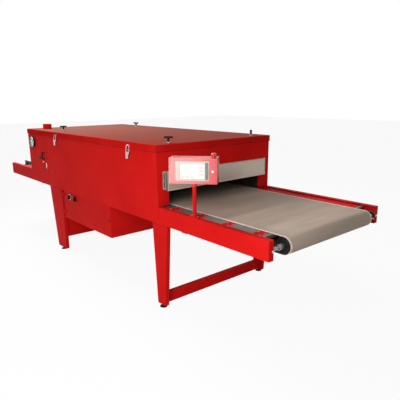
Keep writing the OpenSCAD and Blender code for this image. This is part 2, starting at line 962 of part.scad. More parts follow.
module latch_lever(x) {
    plate_y = bail_y - barrel_r + base_t / 2;
    ear = (lever_w - lug_w) / 2 - 2 * face_gap;
    color(steel) translate([x, 0, 0]) difference() {
        union() {
            slab([-lever_w / 2, plate_y - base_t, pivot_z - lever_len],
                 [lever_w / 2, plate_y, pivot_z + ear_t / 2]);
            for (x1 = [-lever_w / 2, lever_w / 2 - ear]) {
                slab([x1, plate_y - base_t / 2, pivot_z - ear_t / 2],
                     [x1 + ear, pivot_y, pivot_z + ear_t / 2]);
                rod_x(x1, x1 + ear, pivot_y, pivot_z, ear_t / 2 + face_gap);
            }
            rod_x(-lever_w / 2, lever_w / 2, bail_y, bail_z, barrel_r);
            translate([0, plate_y - base_t + face_gap, pivot_z - lever_len + base_t])
                rotate([curl_turn, 0, 0])
                    slab([-lever_w / 2, 0, -ear_t], [lever_w / 2, base_t - 2 * face_gap, 0]);
        }
        rod_x(-lever_w, lever_w, pivot_y, pivot_z, pin_r + run_gap);
        rod_x(-lever_w, lever_w, bail_y, bail_z, wire_r + run_gap);
    }
}

module latch_lever_front() {
    latch_lever(latch_at[0]);
}

module latch_lever_rear() {
    latch_lever(latch_at[1]);
}

module latch_bail(x) {
    color(steel) translate([x, bail_y, bail_z]) rotate([-bail_tilt, 0, 0]) {
        for (z = [0, bail_len])
            rod_x(-bail_w / 2, bail_w / 2, 0, z, wire_r);
        for (x1 = [-bail_w / 2, bail_w / 2]) {
            translate([x1, 0, 0]) cylinder(r = wire_r, h = bail_len);
            for (z = [0, bail_len])
                translate([x1, 0, z]) sphere(r = wire_r);
        }
    }
}

module latch_bail_front() {
    latch_bail(latch_at[0]);
}

module latch_bail_rear() {
    latch_bail(latch_at[1]);
}

module lid_keepers() {
    low = lid_low + ear_t;
    hook_z = bar_z - wire_r - face_gap - base_t;
    color(steel) for (x = latch_at) {
        slab([x - keeper_w / 2, -lid_y - base_t, low], [x + keeper_w / 2, -lid_y, low + keeper_h]);
        slab([x - keeper_w / 2, -lid_y - hook_out, hook_z],
             [x + keeper_w / 2, -lid_y - base_t, hook_z + base_t]);
        slab([x - keeper_w / 2, -lid_y - hook_out, hook_z],
             [x + keeper_w / 2, -lid_y - hook_out + base_t, hook_z + base_t + hook_lip]);
    }
}

// Shutter: an insulated pad between two flat strips with slots
module shutter() {
    low = work_h + shutter_low;
    pad_y = shutter_y - shutter_flat;
    color(zinc) translate([face_gap, 0, 0]) difference() {
        union() {
            slab([0, -pad_y, low - shutter_drop], [shutter_pad, pad_y, low + shutter_h]);
            both_sides() {
                slab([0, pad_y, low], [shutter_t, shutter_y, low + shutter_h]);
                slab([0, pad_y, low], [fold, shutter_y, low + shutter_t]);
            }
        }
        slab([-over, -pad_y + shutter_t, low - shutter_drop + shutter_t],
             [shutter_pad - shutter_t, pad_y - shutter_t, low + shutter_h - shutter_t]);
        both_sides() {
            slab([-over, slot_y - slot_bolt_r - hole_gap, slot_z - slot_len / 2],
                 [shutter_t + over, slot_y + slot_bolt_r + hole_gap, slot_z + slot_len / 2]);
        }
    }
}

module front_shutter() {
    translate([x_front, 0, 0]) shutter();
}

module rear_shutter() {
    translate([x_rear, 0, 0]) mirror([1, 0, 0]) shutter();
}

// Post of the control panel, with its base plate on the near rail
module panel_post() {
    color(paint) {
        translate([post_at.x, post_at.y, work_h]) {
            slab([-base_plate.x / 2, -base_plate.y / 2, 0],
                 [base_plate.x / 2, base_plate.y / 2, base_plate.z]);
            cylinder(r = post_r, h = panel_up - face_gap);
        }
    }
}

// The panel's own frame: its front faces -Y before it is turned
module panel_place() {
    translate([post_at.x, post_at.y, panel_low]) rotate([0, 0, panel_turn]) children();
}

module panel_box() {
    front = -panel_d / 2;
    color(paint) panel_place() difference() {
        union() {
            slab([-panel_w / 2, -panel_d / 2, 0], [panel_w / 2, panel_d / 2, panel_h]);
            translate([0, 0, -socket_h]) cylinder(r = post_r + socket_wall, h = socket_h);
        }
        slab([-panel_w / 2 + panel_wall, -panel_d / 2 + panel_wall, panel_wall],
             [panel_w / 2 - panel_wall, panel_d / 2 - panel_wall, panel_h - panel_wall]);
        translate([0, 0, -socket_h - over]) cylinder(r = post_r + run_gap, h = socket_h + over);
        slab([bezel_off - screen_w / 2, front - over, panel_h / 2 - screen_h / 2],
             [bezel_off + screen_w / 2, front + panel_wall + over, panel_h / 2 + screen_h / 2]);
        rod_y(front - over, front + panel_wall + over, strip_x, button_z, button_r * stem_share + run_gap);
        translate([strip_x, 0, panel_h - panel_wall - over])
            cylinder(r = stop_neck + run_gap, h = panel_wall + 2 * over);
    }
}

module panel_bezel() {
    color(zinc) panel_place() difference() {
        slab([bezel_off - bezel_w / 2, -panel_d / 2 - bezel_t, panel_h / 2 - bezel_h / 2],
             [bezel_off + bezel_w / 2, -panel_d / 2, panel_h / 2 + bezel_h / 2]);
        slab([bezel_off - screen_w / 2, -panel_d / 2 - bezel_t - over, panel_h / 2 - screen_h / 2],
             [bezel_off + screen_w / 2, -panel_d / 2 + over, panel_h / 2 + screen_h / 2]);
    }
}

module panel_screen() {
    inset = 3 * face_gap;
    color(screen_tone) panel_place()
        slab([bezel_off - screen_w / 2 + inset, -panel_d / 2 - bezel_t / 2,
              panel_h / 2 - screen_h / 2 + inset],
             [bezel_off + screen_w / 2 - inset, -panel_d / 2 + module_d, panel_h / 2 + screen_h / 2 - inset]);
}

module push_button() {
    front = -panel_d / 2;
    color("white") panel_place() {
        rod_y(front - button_out, front - button_travel - face_gap, strip_x, button_z, button_r);
        rod_y(front - button_out, front + button_in, strip_x, button_z, button_r * stem_share);
    }
}

module emergency_stop() {
    color("red") panel_place() translate([strip_x, 0, panel_h]) {
        translate([0, 0, -stop_up]) cylinder(r = stop_neck, h = 2 * stop_up);
        translate([0, 0, stop_up]) cylinder(r = stop_r, h = stop_h * stop_share);
        translate([0, 0, stop_up + stop_h * stop_share])
            cylinder(r1 = stop_r, r2 = stop_r * stop_share, h = stop_h * (1 - stop_share));
    }
}

// Legs: folded sheet that tapers towards the floor and opens inwards
module leg_outline(edges, inset) {
    polygon([
        [edges[0] + inset, rail_low - inset], [edges[1] - inset, rail_low - inset],
        [edges[3] - inset, leg_low + inset], [edges[2] + inset, leg_low + inset]
    ]);
}

module leg(edges) {
    foot_x = (edges[2] + edges[3]) / 2;
    translate([x_front, 0, 0]) difference() {
        translate([0, leg_out, 0]) rotate([90, 0, 0]) linear_extrude(leg_d) leg_outline(edges, 0);
        translate([0, leg_out - leg_t, 0]) rotate([90, 0, 0]) linear_extrude(leg_d) leg_outline(edges, leg_t);
        translate([foot_x, (leg_out + leg_in) / 2, leg_low - over])
            cylinder(r = stud_r + face_gap, h = leg_t + 2 * over);
    }
}

module front_legs() {
    color(paint) both_sides() leg(front_leg);
}

module rear_legs() {
    color(paint) both_sides() leg(rear_leg);
}

// Braces: a low bar between the front legs and a tall panel between the rear legs
module leg_braces() {
    reach = leg_out - leg_t;
    color(paint) translate([x_front, 0, 0]) {
        slab([bar_front - bar_d, -reach, bar_low], [bar_front, reach, bar_low + bar_h]);
        slab([rear_panel_x, -reach, rear_panel_low], [rear_panel_x + leg_t, reach, rail_low - leg_t]);
        slab([rear_panel_x - flange, -reach, rear_panel_low],
             [rear_panel_x, reach, rear_panel_low + leg_t]);
    }
}

module levelling_foot(edges) {
    translate([x_front + (edges[2] + edges[3]) / 2, (leg_out + leg_in) / 2, 0]) {
        cylinder(r = pad_r, h = pad_t);
        translate([0, 0, pad_t]) cylinder(r1 = pad_r * cone_share, r2 = nut_r * cone_share, h = cone_h);
        cylinder(r = stud_r, h = leg_low + stud_in);
        translate([0, 0, leg_low - nut_h]) cylinder(r = nut_r, h = nut_h, $fn = 6);
    }
}

module levelling_feet() {
    color(steel) both_sides() {
        levelling_foot(front_leg);
        levelling_foot(rear_leg);
    }
}

// Cabinet under the hood: a box that opens to the near side, on two hanger bars, with its cable gland
module cabinet_box() {
    t = cabinet_t;
    color(paint) {
        difference() {
            slab([cab_x1, -cab_near, cabinet_low], [cab_x2, -cab_far, cab_top]);
            slab([cab_x1 + t, -cab_near - over, cabinet_low + t], [cab_x2 - t, -cab_far - t, cab_top - t]);
            translate([gland_x, gland_y, cabinet_low - over]) cylinder(r = cable_r, h = t + 2 * over);
        }
        translate([gland_x, gland_y, cabinet_low - gland_len]) difference() {
            union() {
                cylinder(r = gland_r * head_share, h = gland_len);
                translate([0, 0, gland_len - nut_h]) cylinder(r = gland_r, h = nut_h, $fn = 6);
            }
            translate([0, 0, -over]) cylinder(r = cable_r, h = gland_len + 2 * over);
        }
        for (x = [cab_x1 + hang_in, cab_x2 - hang_in - hang_w])
            slab([x, -rail_y + hang_end, cab_top], [x + hang_w, rail_y - hang_end, rail_low]);
        for (s = door_hinge_share)
            translate([cab_x1, -cab_near, cabinet_low + s * (cab_top - cabinet_low)]) {
                slab([-door_pin_out - door_pin_r, 0, -door_pin_h / 2], [0, door_pin_r, 0]);
                translate([-door_pin_out, -door_t, -door_pin_h / 2])
                    cylinder(r = door_knuckle, h = door_pin_h / 2);
                translate([-door_pin_out, -door_t, -door_pin_h / 2]) cylinder(r = door_pin_r, h = door_pin_h);
            }
    }
}

module cabinet_door() {
    color(paint) difference() {
        door_parts();
        for (x = [isolator_x, selector_x])
            rod_y(-door_y - escutcheon_t - over, -door_y + door_t + over, x, switch_z, spindle_r + run_gap);
    }
}

// The door's sheet, its hinge straps and the plates of its two switches
module door_parts() {
    slab([cab_x1 + face_gap, -door_y, cabinet_low], [cab_x2, -door_y + door_t, cab_top - face_gap]);
    for (s = door_hinge_share)
        translate([cab_x1, -cab_near, cabinet_low + s * (cab_top - cabinet_low)]) difference() {
            union() {
                slab([-door_pin_out, -door_t - door_knuckle, face_gap],
                     [door_pin_h, -door_t - face_gap, door_pin_h / 2]);
                translate([-door_pin_out, -door_t, face_gap])
                    cylinder(r = door_knuckle, h = door_pin_h / 2 - face_gap);
            }
            translate([-door_pin_out, -door_t, 0]) cylinder(r = door_pin_r + run_gap, h = door_pin_h);
        }
    for (x = [isolator_x, selector_x])
        slab([x - escutcheon / 2, -door_y - escutcheon_t, switch_z - escutcheon / 2],
             [x + escutcheon / 2, -door_y, switch_z + escutcheon / 2]);
}

// Rotary switch handle: a disc with a raised grip and a spindle towards the door
module rotary_knob(x) {
    face = -door_y - escutcheon_t - face_gap;
    color(black) {
        rod_y(face - disc_out, face, x, switch_z, dial_knob_r);
        slab([x - grip_w / 2, face - knob_out, switch_z - dial_knob_r],
             [x + grip_w / 2, face - face_gap, switch_z + dial_knob_r]);
        rod_y(face - disc_out, -door_y + door_t + spindle_in, x, switch_z, spindle_r);
    }
}

module isolator_knob() {
    rotary_knob(isolator_x);
}

module selector_knob() {
    rotary_knob(selector_x);
}

// Devices of the cabinet on their mounting plate
module cabinet_devices() {
    back = -cab_far - cabinet_t;
    mid = (cab_x1 + cab_x2) / 2;
    high = (cabinet_low + cab_top) / 2;
    half_w = cabinet_len / 2 - back_gap;
    half_h = (cab_top - cabinet_low) / 2 - back_gap;
    face = back - back_t - back_gap;
    color(zinc) {
        slab([mid - half_w, face, high - half_h], [mid + half_w, back - back_gap, high + half_h]);
        for (x = [mid - half_w * stud_share, mid + half_w * stud_share])
            rod_y(back - back_gap, back, x, high, spindle_r);
        for (i = [0:breaker_count - 1])
            slab([mid - half_w * row_share + i * breaker_h, face - breaker_h, high],
                 [mid - half_w * row_share + i * breaker_h + breaker_w, face, high + breaker_h]);
        slab([mid - half_w * row_share, face - supply_d, high - breaker_h],
             [mid, face, high - breaker_h + supply_h]);
        slab([mid + half_w * drive_share, face - drive_d, high - breaker_h],
             [mid + half_w * stud_share, face, high - breaker_h + supply_h]);
    }
}

// Exhaust fan: a duct on a shelf, with its motor on a spider
module fan_housing() {
    low = duct_top - duct_len;
    color(zinc) translate([stub_at.x, stub_at.y, low]) {
        difference() {
            union() {
                cylinder(r = duct_r + duct_wall, h = duct_len);
                slab([-fan_shelf_w / 2, -stub_in, fan_shelf_z],
                     [fan_shelf_w / 2, fan_shelf_w / 2, fan_shelf_z + fan_shelf_t]);
            }
            translate([0, 0, -over]) cylinder(r = duct_r, h = duct_len + 2 * over);
        }
        difference() {
            union() {
                translate([0, 0, fan_motor_low]) cylinder(r = fan_motor_r, h = fan_motor_h);
                for (i = [0:spider_count - 1])
                    rotate([0, 0, spider_turn + i * 360 / spider_count])
                        slab([fan_motor_r - spider_t, -spider_t / 2, fan_motor_low + spider_t],
                             [duct_r + duct_wall / 2, spider_t / 2, fan_motor_low + fan_motor_r]);
            }
            translate([0, 0, fan_motor_low + fan_motor_h - fan_shaft_in - over])
                cylinder(r = fan_shaft_r + run_gap, h = fan_motor_h);
        }
    }
}

module fan_impeller() {
    low = duct_top - duct_len + fan_motor_low + fan_motor_h;
    color(steel) translate([stub_at.x, stub_at.y, low]) {
        translate([0, 0, fan_gap]) cylinder(r = fan_hub_r, h = fan_hub_h);
        translate([0, 0, -fan_shaft_in]) cylinder(r = fan_shaft_r, h = fan_shaft_in + fan_gap);
        for (i = [0:blade_count - 1])
            rotate([0, 0, i * 360 / blade_count]) translate([fan_hub_r - over, 0, fan_gap + fan_hub_h / 2])
                rotate([blade_lean, 0, 0])
                    slab([0, -blade_t / 2, -fan_hub_h / 2],
                         [duct_r - blade_tip_gap - fan_hub_r, blade_t / 2, fan_hub_h / 2]);
    }
}

// Thermometer: a round case with a dial at its back, and a needle that turns on a post
module thermometer_case() {
    color(steel) translate([gauge_at.x, -skin_y, gauge_at.y]) rotate([90, 0, 0]) {
        difference() {
            cylinder(r = gauge_r, h = gauge_d);
            translate([0, 0, dial_z]) cylinder(r = gauge_r - bezel_ring, h = gauge_d);
        }
        cylinder(r = needle_post, h = dial_z + needle_post_h);
    }
}

module thermometer_needle() {
    up = dial_z + needle_up;
    color(black) translate([gauge_at.x, -skin_y, gauge_at.y]) rotate([90, 0, 0]) difference() {
        translate([0, 0, up]) rotate([0, 0, needle_rest]) {
            cylinder(r = needle_hub, h = hub_h);
            slab([-needle_tail, -needle_w / 2, 0], [needle_len, needle_w / 2, needle_t]);
        }
        translate([0, 0, up - over]) cylinder(r = needle_post + run_gap, h = gauge_d);
    }
}

// Air inlet: two guide strips and the plate that slides between them
module damper_guides() {
    x1 = inlet_x + inlet_w / 2 + guide_strip.y / 2;
    color(steel) translate([x1, -skin_y, inlet_z]) for (side = [0, 1]) mirror([0, 0, side]) {
        slab([-guide_strip.x, -guide_strip.z, inlet_h / 2], [0, 0, inlet_h / 2 + guide_strip.y]);
        slab([-guide_strip.x, -guide_strip.z, inlet_h / 2 - guide_over],
             [0, -damper_t - 2 * face_gap, inlet_h / 2 + guide_strip.y]);
    }
}

module air_damper() {
    x2 = inlet_x + inlet_w / 2 - damper_open;
    back = -skin_y - face_gap;
    z1 = inlet_z - inlet_h / 2 + face_gap;
    color(paint) {
        slab([x2 - damper_w, back - damper_t, z1], [x2, back, z1 + inlet_h - 2 * face_gap]);
        rod_y(back - damper_t - damper_knob_h, back - damper_t, x2 - damper_w / 2, inlet_z, damper_knob_r);
    }
}

// Pull handle and lock of the near rear cover
module access_handle() {
    color(black) {
        for (z = [handle_z - handle_len / 2 + handle_r, handle_z + handle_len / 2 - handle_r])
            rod_y(-skin_y - handle_out, -skin_y, handle_x, z, handle_r * head_share);
        translate([handle_x, -skin_y - handle_out, handle_z - handle_len / 2])
            cylinder(r = handle_r, h = handle_len);
        rod_y(-skin_y - lock_t, -skin_y, lock_x, lock_z, lock_r);
    }
}

side_rails();
cross_members();
slider_plates();
infeed_guides();
front_legs();
rear_legs();
leg_braces();
levelling_feet();
hood_sides();
rear_covers();
front_end_frame();
rear_end_frame();
tunnel_liners();
side_insulation();
hinge_lower();
latch_bases();
belt();
bearing_blocks();
frame_bolts();
gearmotor();
panel_post();
cabinet_box();
cabinet_devices();
fan_housing();
thermometer_case();
damper_guides();
access_handle();
lid_shell();
lid_insulation();
hinge_upper();
lid_keepers();
exhaust_stub();
screw_collars();
heater_frame();
heater_panels();
lift_screw_1();
lift_screw_2();
lift_screw_3();
lift_screw_4();
latch_lever_front();
latch_lever_rear();
latch_bail_front();
latch_bail_rear();
front_shutter();
rear_shutter();
drive_roller();
idler_roller();
return_roller_front();
return_roller_rear();
fan_impeller();
thermometer_needle();
air_damper();
panel_box();
panel_bezel();
panel_screen();
push_button();
emergency_stop();
cabinet_door();
isolator_knob();
selector_knob();
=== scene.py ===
# %% [markdown]
# # Conveyor dryer
# A belt carries printed goods through a heated tunnel. The CAD part gives every size; this script adds the
# looks. Everything is built in metres in the CAD frame: +X runs with the belt, +Y to the hinges, +Z up.

# %% Load the frame
import json
import math
import bmesh
import bpy
from mathutils import Matrix, Vector

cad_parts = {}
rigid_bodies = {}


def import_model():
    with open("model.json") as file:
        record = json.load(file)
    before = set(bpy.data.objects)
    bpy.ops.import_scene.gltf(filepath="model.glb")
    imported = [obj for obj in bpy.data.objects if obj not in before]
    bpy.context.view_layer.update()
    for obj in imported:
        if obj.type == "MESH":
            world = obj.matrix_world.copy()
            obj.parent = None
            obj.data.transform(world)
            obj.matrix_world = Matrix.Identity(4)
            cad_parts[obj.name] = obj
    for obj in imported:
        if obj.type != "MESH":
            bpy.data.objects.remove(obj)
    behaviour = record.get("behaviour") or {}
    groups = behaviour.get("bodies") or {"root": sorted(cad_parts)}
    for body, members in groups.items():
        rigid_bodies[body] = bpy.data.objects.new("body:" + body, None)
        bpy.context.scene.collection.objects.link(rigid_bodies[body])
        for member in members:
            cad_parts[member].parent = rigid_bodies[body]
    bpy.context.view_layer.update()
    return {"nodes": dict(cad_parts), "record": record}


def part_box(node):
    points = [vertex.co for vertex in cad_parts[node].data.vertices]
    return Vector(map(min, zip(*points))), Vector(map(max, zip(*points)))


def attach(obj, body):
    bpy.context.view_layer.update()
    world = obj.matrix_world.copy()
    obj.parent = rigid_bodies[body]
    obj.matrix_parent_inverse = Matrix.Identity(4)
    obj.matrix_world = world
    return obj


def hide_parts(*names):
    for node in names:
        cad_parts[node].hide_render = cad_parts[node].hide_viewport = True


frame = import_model()
NODES = frame["nodes"]
BODY = {n: b for b, ns in frame["record"]["behaviour"]["bodies"].items() for n in ns}
X, Y, Z = Vector((1, 0, 0)), Vector((0, 1, 0)), Vector((0, 0, 1))

# %% [markdown]
# ## Node helpers
# A material is a net of small nodes. Each helper adds one node, sets its numbers and wires what it is
# given, so the recipes further down read like formulas. The sky and the floor use them first.

# %% Node helpers
def add_node(tree, kind, **settings):
    node = tree.nodes.new(kind)
    for key, value in settings.items():
        setattr(node, key, value)
    return node


def preset(node, numbers):
    for socket, number in numbers.items():
        node.inputs[socket].default_value = number


def wire(tree, source, target):
    tree.links.new(source, target)


def object_place(tree):
    return add_node(tree, "ShaderNodeTexCoord").outputs["Object"]


def noise(tree, coords, scale, detail=3.0, roughness=0.55):
    node = add_node(tree, "ShaderNodeTexNoise")
    preset(node, {"Scale": scale, "Detail": detail, "Roughness": roughness})
    wire(tree, coords, node.inputs["Vector"])
    return node.outputs["Fac"]


def span(tree, value, low, high, to_low=0.0, to_high=1.0):
    node = add_node(tree, "ShaderNodeMapRange")
    preset(node, {"From Min": low, "From Max": high, "To Min": to_low, "To Max": to_high})
    wire(tree, value, node.inputs["Value"])
    return node.outputs["Result"]


def calc(tree, operation, a, b):
    node = add_node(tree, "ShaderNodeMath", operation=operation)
    for socket, value in zip(node.inputs, (a, b)):
        if isinstance(value, (int, float)):
            socket.default_value = value
        else:
            wire(tree, value, socket)
    return node.outputs[0]


def product(tree, first, *others):
    for value in others:
        first = calc(tree, "MULTIPLY", first, value)
    return first


def stretch(tree, coords, scale):
    node = add_node(tree, "ShaderNodeMapping")
    preset(node, {"Scale": scale})
    wire(tree, coords, node.inputs["Vector"])
    return node.outputs["Vector"]


def upward(tree, low, high):
    """1 on faces that look up, 0 on those that look aside or down."""
    parts = add_node(tree, "ShaderNodeSeparateXYZ")
    wire(tree, add_node(tree, "ShaderNodeNewGeometry").outputs["Normal"], parts.inputs[0])
    return span(tree, parts.outputs["Z"], low, high)


def new_material(name):
    material = bpy.data.materials.new(name)
    material.use_nodes = True
    return material, material.node_tree, material.node_tree.nodes["Principled BSDF"]


print("node helpers ready")

# %% [markdown]
# ## Camera, light and floor
# The camera sits where the photo was taken from, so the picture can be laid over the photo. A photo on
# white has one broad light from the camera's side and a bright room; area lights with large faces give the
# same soft edges. The world is white only where the camera, a mirror or glass looks at it.

# %% Stage
def in_scene(thing):
    bpy.context.scene.collection.objects.link(thing)
    return thing


def area_light(name, place, target, size, watts):
    data = bpy.data.lights.new(name, "AREA")
    data.shape = "RECTANGLE"
    data.size, data.size_y = size
    data.energy = watts
    lamp = in_scene(bpy.data.objects.new(name, data))
    lamp.location = place
    lamp.rotation_euler = (Vector(target) - Vector(place)).to_track_quat("-Z", "Y").to_euler()


def photo_camera():
    data = bpy.data.cameras.new("photo_camera")
    data.lens = 39.09
    data.sensor_width = 36
    data.shift_x, data.shift_y = -0.0033, 0.0256
    camera = in_scene(bpy.data.objects.new("photo_camera", data))
    right, down = Vector((0.6561, 0.7546, -0.0066)), Vector((0.1842, -0.1686, -0.9683))
    ahead = Vector((-0.7318, 0.6341, -0.2496))
    turn = Matrix((right, -down, -ahead)).transposed().to_4x4()
    camera.matrix_world = Matrix.Translation((3.9114, -2.6157, 1.7438)) @ turn
    bpy.context.scene.camera = camera


def seen_rays(tree):
    """1 where the camera, a mirror or a glass looks at the white, 0 where it lights the machine."""
    path = add_node(tree, "ShaderNodeLightPath").outputs
    straight = calc(tree, "MAXIMUM", path["Is Camera Ray"], path["Is Glossy Ray"])
    return calc(tree, "MAXIMUM", straight, path["Is Transmission Ray"])


def white_world(light_share):
    world = bpy.data.worlds.new("studio")
    world.use_nodes = True
    tree = world.node_tree
    back = tree.nodes["Background"]
    preset(back, {"Color": (1, 1, 1, 1)})
    wire(tree, span(tree, seen_rays(tree), 0.0, 1.0, light_share, 1.0), back.inputs["Strength"])
    bpy.context.scene.world = world


def white_floor(glow_share):
    """Part of the floor's white glows for the camera, the rest is lit, so the machine's shadow stays."""
    bm = bmesh.new()
    bmesh.ops.create_grid(bm, x_segments=8, y_segments=8, size=30)
    mesh = bpy.data.meshes.new("floor")
    bm.to_mesh(mesh)
    bm.free()
    floor = in_scene(bpy.data.objects.new("floor", mesh))
    floor.location.z = -0.0005
    material, tree, shader = new_material("floor_white")
    preset(shader, {"Base Color": (0.85, 0.85, 0.85, 1), "Roughness": 0.9, "Specular IOR Level": 0.0})
    blend = add_node(tree, "ShaderNodeMixShader")
    wire(tree, product(tree, seen_rays(tree), glow_share), blend.inputs[0])
    wire(tree, shader.outputs[0], blend.inputs[1])
    wire(tree, add_node(tree, "ShaderNodeEmission").outputs[0], blend.inputs[2])
    wire(tree, blend.outputs[0], tree.nodes["Material Output"].inputs["Surface"])
    mesh.materials.append(material)


photo_camera()
white_world(0.22)
white_floor(0.93)
area_light("key", (2.9, -2.9, 2.2), (1.4, -0.6, 0.9), (1.8, 1.4), 60)
area_light("top", (-2.1, -0.6, 4.1), (1.7, 0.0, 0.9), (1.8, 1.5), 172)
area_light("flash", (3.1, -4.0, 0.75), (1.55, -0.64, 1.25), (0.9, 0.8), 28)
bpy.context.scene.view_settings.view_transform = "Standard"
print("stage: camera, 3 lights, floor")

# %% [markdown]
# ## Shared shader effects
# Wear, dust and scratches look the same on many materials, so each is a node group with named sockets.
# A group gives out only a mask; the material decides what it does with it.
# The scales are in 1/m, because object coordinates are metres here.

# %% Worn edges
# The bevels below mark their faces with an attribute named edge. Paint goes first where it is thin: on
# these edges.
def start_group(name, usual):
    """A node group with one Amount going in and one Mask coming out."""
    tree = bpy.data.node_groups.new(name, "ShaderNodeTree")
    number = "NodeSocketFloat"
    tree.interface.new_socket(name="Amount", in_out="INPUT", socket_type=number).default_value = usual
    tree.interface.new_socket(name="Mask", in_out="OUTPUT", socket_type=number)
    going_in, coming_out = tree.nodes.new("NodeGroupInput"), tree.nodes.new("NodeGroupOutput")
    return tree, going_in.outputs["Amount"], coming_out.inputs["Mask"]


tree, amount, mask = start_group("worn_edges", 0.5)
marked = add_node(tree, "ShaderNodeAttribute", attribute_name="edge").outputs["Fac"]
place = object_place(tree)
patches = span(tree, noise(tree, place, 9.0, 4.0), 0.5, 0.62)
chips = span(tree, noise(tree, place, 160.0, 3.0), 0.42, 0.58)
wire(tree, product(tree, patches, chips, marked, amount), mask)
edge_group = tree
print("group:", edge_group.name)

# %% Settled dust
# Dust lies on faces that look up, thicker in some places than in others.
tree, amount, mask = start_group("settled_dust", 0.3)
place = object_place(tree)
clouds = span(tree, noise(tree, place, 5.0, 6.0, 0.6), 0.35, 0.75, 0.25, 1.0)
specks = span(tree, noise(tree, place, 900.0, 2.0), 0.45, 0.7)
grains = calc(tree, "ADD", specks, 0.35)
wire(tree, product(tree, upward(tree, 0.55, 0.95), clouds, grains, amount), mask)
dust_group = tree
print("group:", dust_group.name)

# %% Fine scratches
# Two sets of thin lines, cut from noise that is pulled out along one direction.
tree, amount, mask = start_group("fine_scratches", 0.3)
place = object_place(tree)
along_x = noise(tree, stretch(tree, place, (4, 420, 300)), 1.0, 2.0)
across_x = noise(tree, stretch(tree, place, (260, 9, 14)), 1.0, 2.0)
lines = calc(tree, "MAXIMUM", span(tree, along_x, 0.66, 0.72), span(tree, across_x, 0.68, 0.74))
spread = span(tree, noise(tree, place, 3.0, 2.0), 0.45, 0.65)
wire(tree, product(tree, lines, spread, amount), mask)
scratch_group = tree
print("group:", scratch_group.name)

# %% [markdown]
# ## Materials
# Most surfaces are the same recipe with other numbers: two tones mixed by a broad noise, a wear tone on the
# edges, a dust tone on top, and a bump from a fine grain. Writing the recipe once as a function keeps every
# material short, and each one still gets its own shader, so it can be changed alone.

# %% Surface recipe
def tone(rgb):
    """Turns picture values of 0 to 255 into the linear colour that a shader takes."""
    shares = [v / 255 for v in rgb]
    return tuple(v / 12.92 if v <= 0.04045 else ((v + 0.055) / 1.055) ** 2.4 for v in shares)


def tint(tree, mask, a, b):
    node = add_node(tree, "ShaderNodeMix", data_type="RGBA")
    wire(tree, mask, node.inputs[0])
    for socket, value in ((node.inputs[6], a), (node.inputs[7], b)):
        if isinstance(value, tuple):
            socket.default_value = (*value, 1)
        else:
            wire(tree, value, socket)
    return node.outputs[2]


def use(tree, group, amount):
    node = add_node(tree, "ShaderNodeGroup", node_tree=group)
    preset(node, {"Amount": amount})
    return node.outputs["Mask"]


def add_bump(tree, shader, height, strength, depth):
    bump = add_node(tree, "ShaderNodeBump")
    preset(bump, {"Strength": strength, "Distance": depth})
    wire(tree, height, bump.inputs["Height"])
    wire(tree, bump.outputs["Normal"], shader.inputs["Normal"])


def surface(name, first, second, rough, metallic, grain, broad, edge=None, dust=None, scratch=0.0, shine=0.12,
            pull=(1, 1, 1)):
    """grain is (scale, strength, depth of the bump); edge and dust are (amount, colour)."""
    material, tree, shader = new_material(name)
    place = stretch(tree, object_place(tree), pull)
    colour = tint(tree, span(tree, noise(tree, place, broad, 4.0), 0.3, 0.7), tone(first), tone(second))
    fine = noise(tree, place, grain[0], 2.0)
    rougher = span(tree, fine, 0.3, 0.7, *rough)
    if scratch:
        mask = use(tree, scratch_group, scratch)
        colour = tint(tree, mask, colour, tuple(min(1.0, c * 1.4 + 0.02) for c in tone(first)))
        rougher = calc(tree, "ADD", rougher, product(tree, mask, 0.2))
    if edge:
        colour = tint(tree, use(tree, edge_group, edge[0]), colour, tone(edge[1]))
    if dust:
        mask = use(tree, dust_group, dust[0])
        colour = tint(tree, mask, colour, tone(dust[1]))
        rougher = calc(tree, "ADD", rougher, product(tree, mask, 0.5))
    add_bump(tree, shader, fine, *grain[1:])
    wire(tree, colour, shader.inputs["Base Color"])
    wire(tree, rougher, shader.inputs["Roughness"])
    preset(shader, {"Metallic": metallic, "Specular IOR Level": shine})
    return material


print("surface recipe ready")

# %% Materials of the machine
BARE_METAL, GREY_DUST, DARK_DUST = (120, 116, 112), (150, 142, 130), (120, 112, 104)
# A grain is its scale in 1/m, and the strength and the depth in metres of its bump
PAINTED, SPANGLED, ROLLED = (650.0, 0.3, 0.00025), (260.0, 0.2, 0.0002), (500.0, 0.2, 0.0002)
POLISHED, MOULDED = (900.0, 0.2, 0.0001), (900.0, 0.15, 0.0001)
paint_red = surface("paint_red", (214, 28, 25), (200, 22, 20), (0.34, 0.44), 0.0, PAINTED, 2.5,
                    edge=(0.7, BARE_METAL), dust=(0.05, (200, 150, 140)), scratch=0.1, shine=0.012)
panel_paint = surface("panel_paint", (204, 32, 32), (196, 28, 28), (0.2, 0.27), 0.0, (650.0, 0.2, 0.0002),
                      2.5, edge=(0.5, (190, 120, 116)), scratch=0.05, shine=0.62)
# The lid's top gets more dust than the other paint: partly real dust, partly painted sheen and shade.
lid_paint = surface("lid_paint", (206, 26, 24), (190, 20, 18), (0.45, 0.6), 0.0, PAINTED, 2.5,
                    edge=(0.7, BARE_METAL), dust=(0.12, (196, 130, 115)), scratch=0.1, shine=0.0)
zinc = surface("zinc_sheet", (134, 131, 122), (110, 109, 103), (0.38, 0.55), 0.55, SPANGLED, 30.0,
               edge=(0.4, (215, 213, 208)), dust=(0.25, GREY_DUST), scratch=0.5)
steel = surface("bright_steel", (205, 205, 205), (180, 180, 180), (0.2, 0.34), 1.0, POLISHED, 14.0,
                edge=(0.5, (235, 235, 235)), dust=(0.1, GREY_DUST), scratch=0.6)
hub_steel = surface("turned_hub", (160, 160, 160), (132, 132, 133), (0.28, 0.42), 1.0, POLISHED, 14.0,
                    edge=(0.4, (200, 200, 200)), dust=(0.1, DARK_DUST), scratch=0.5)
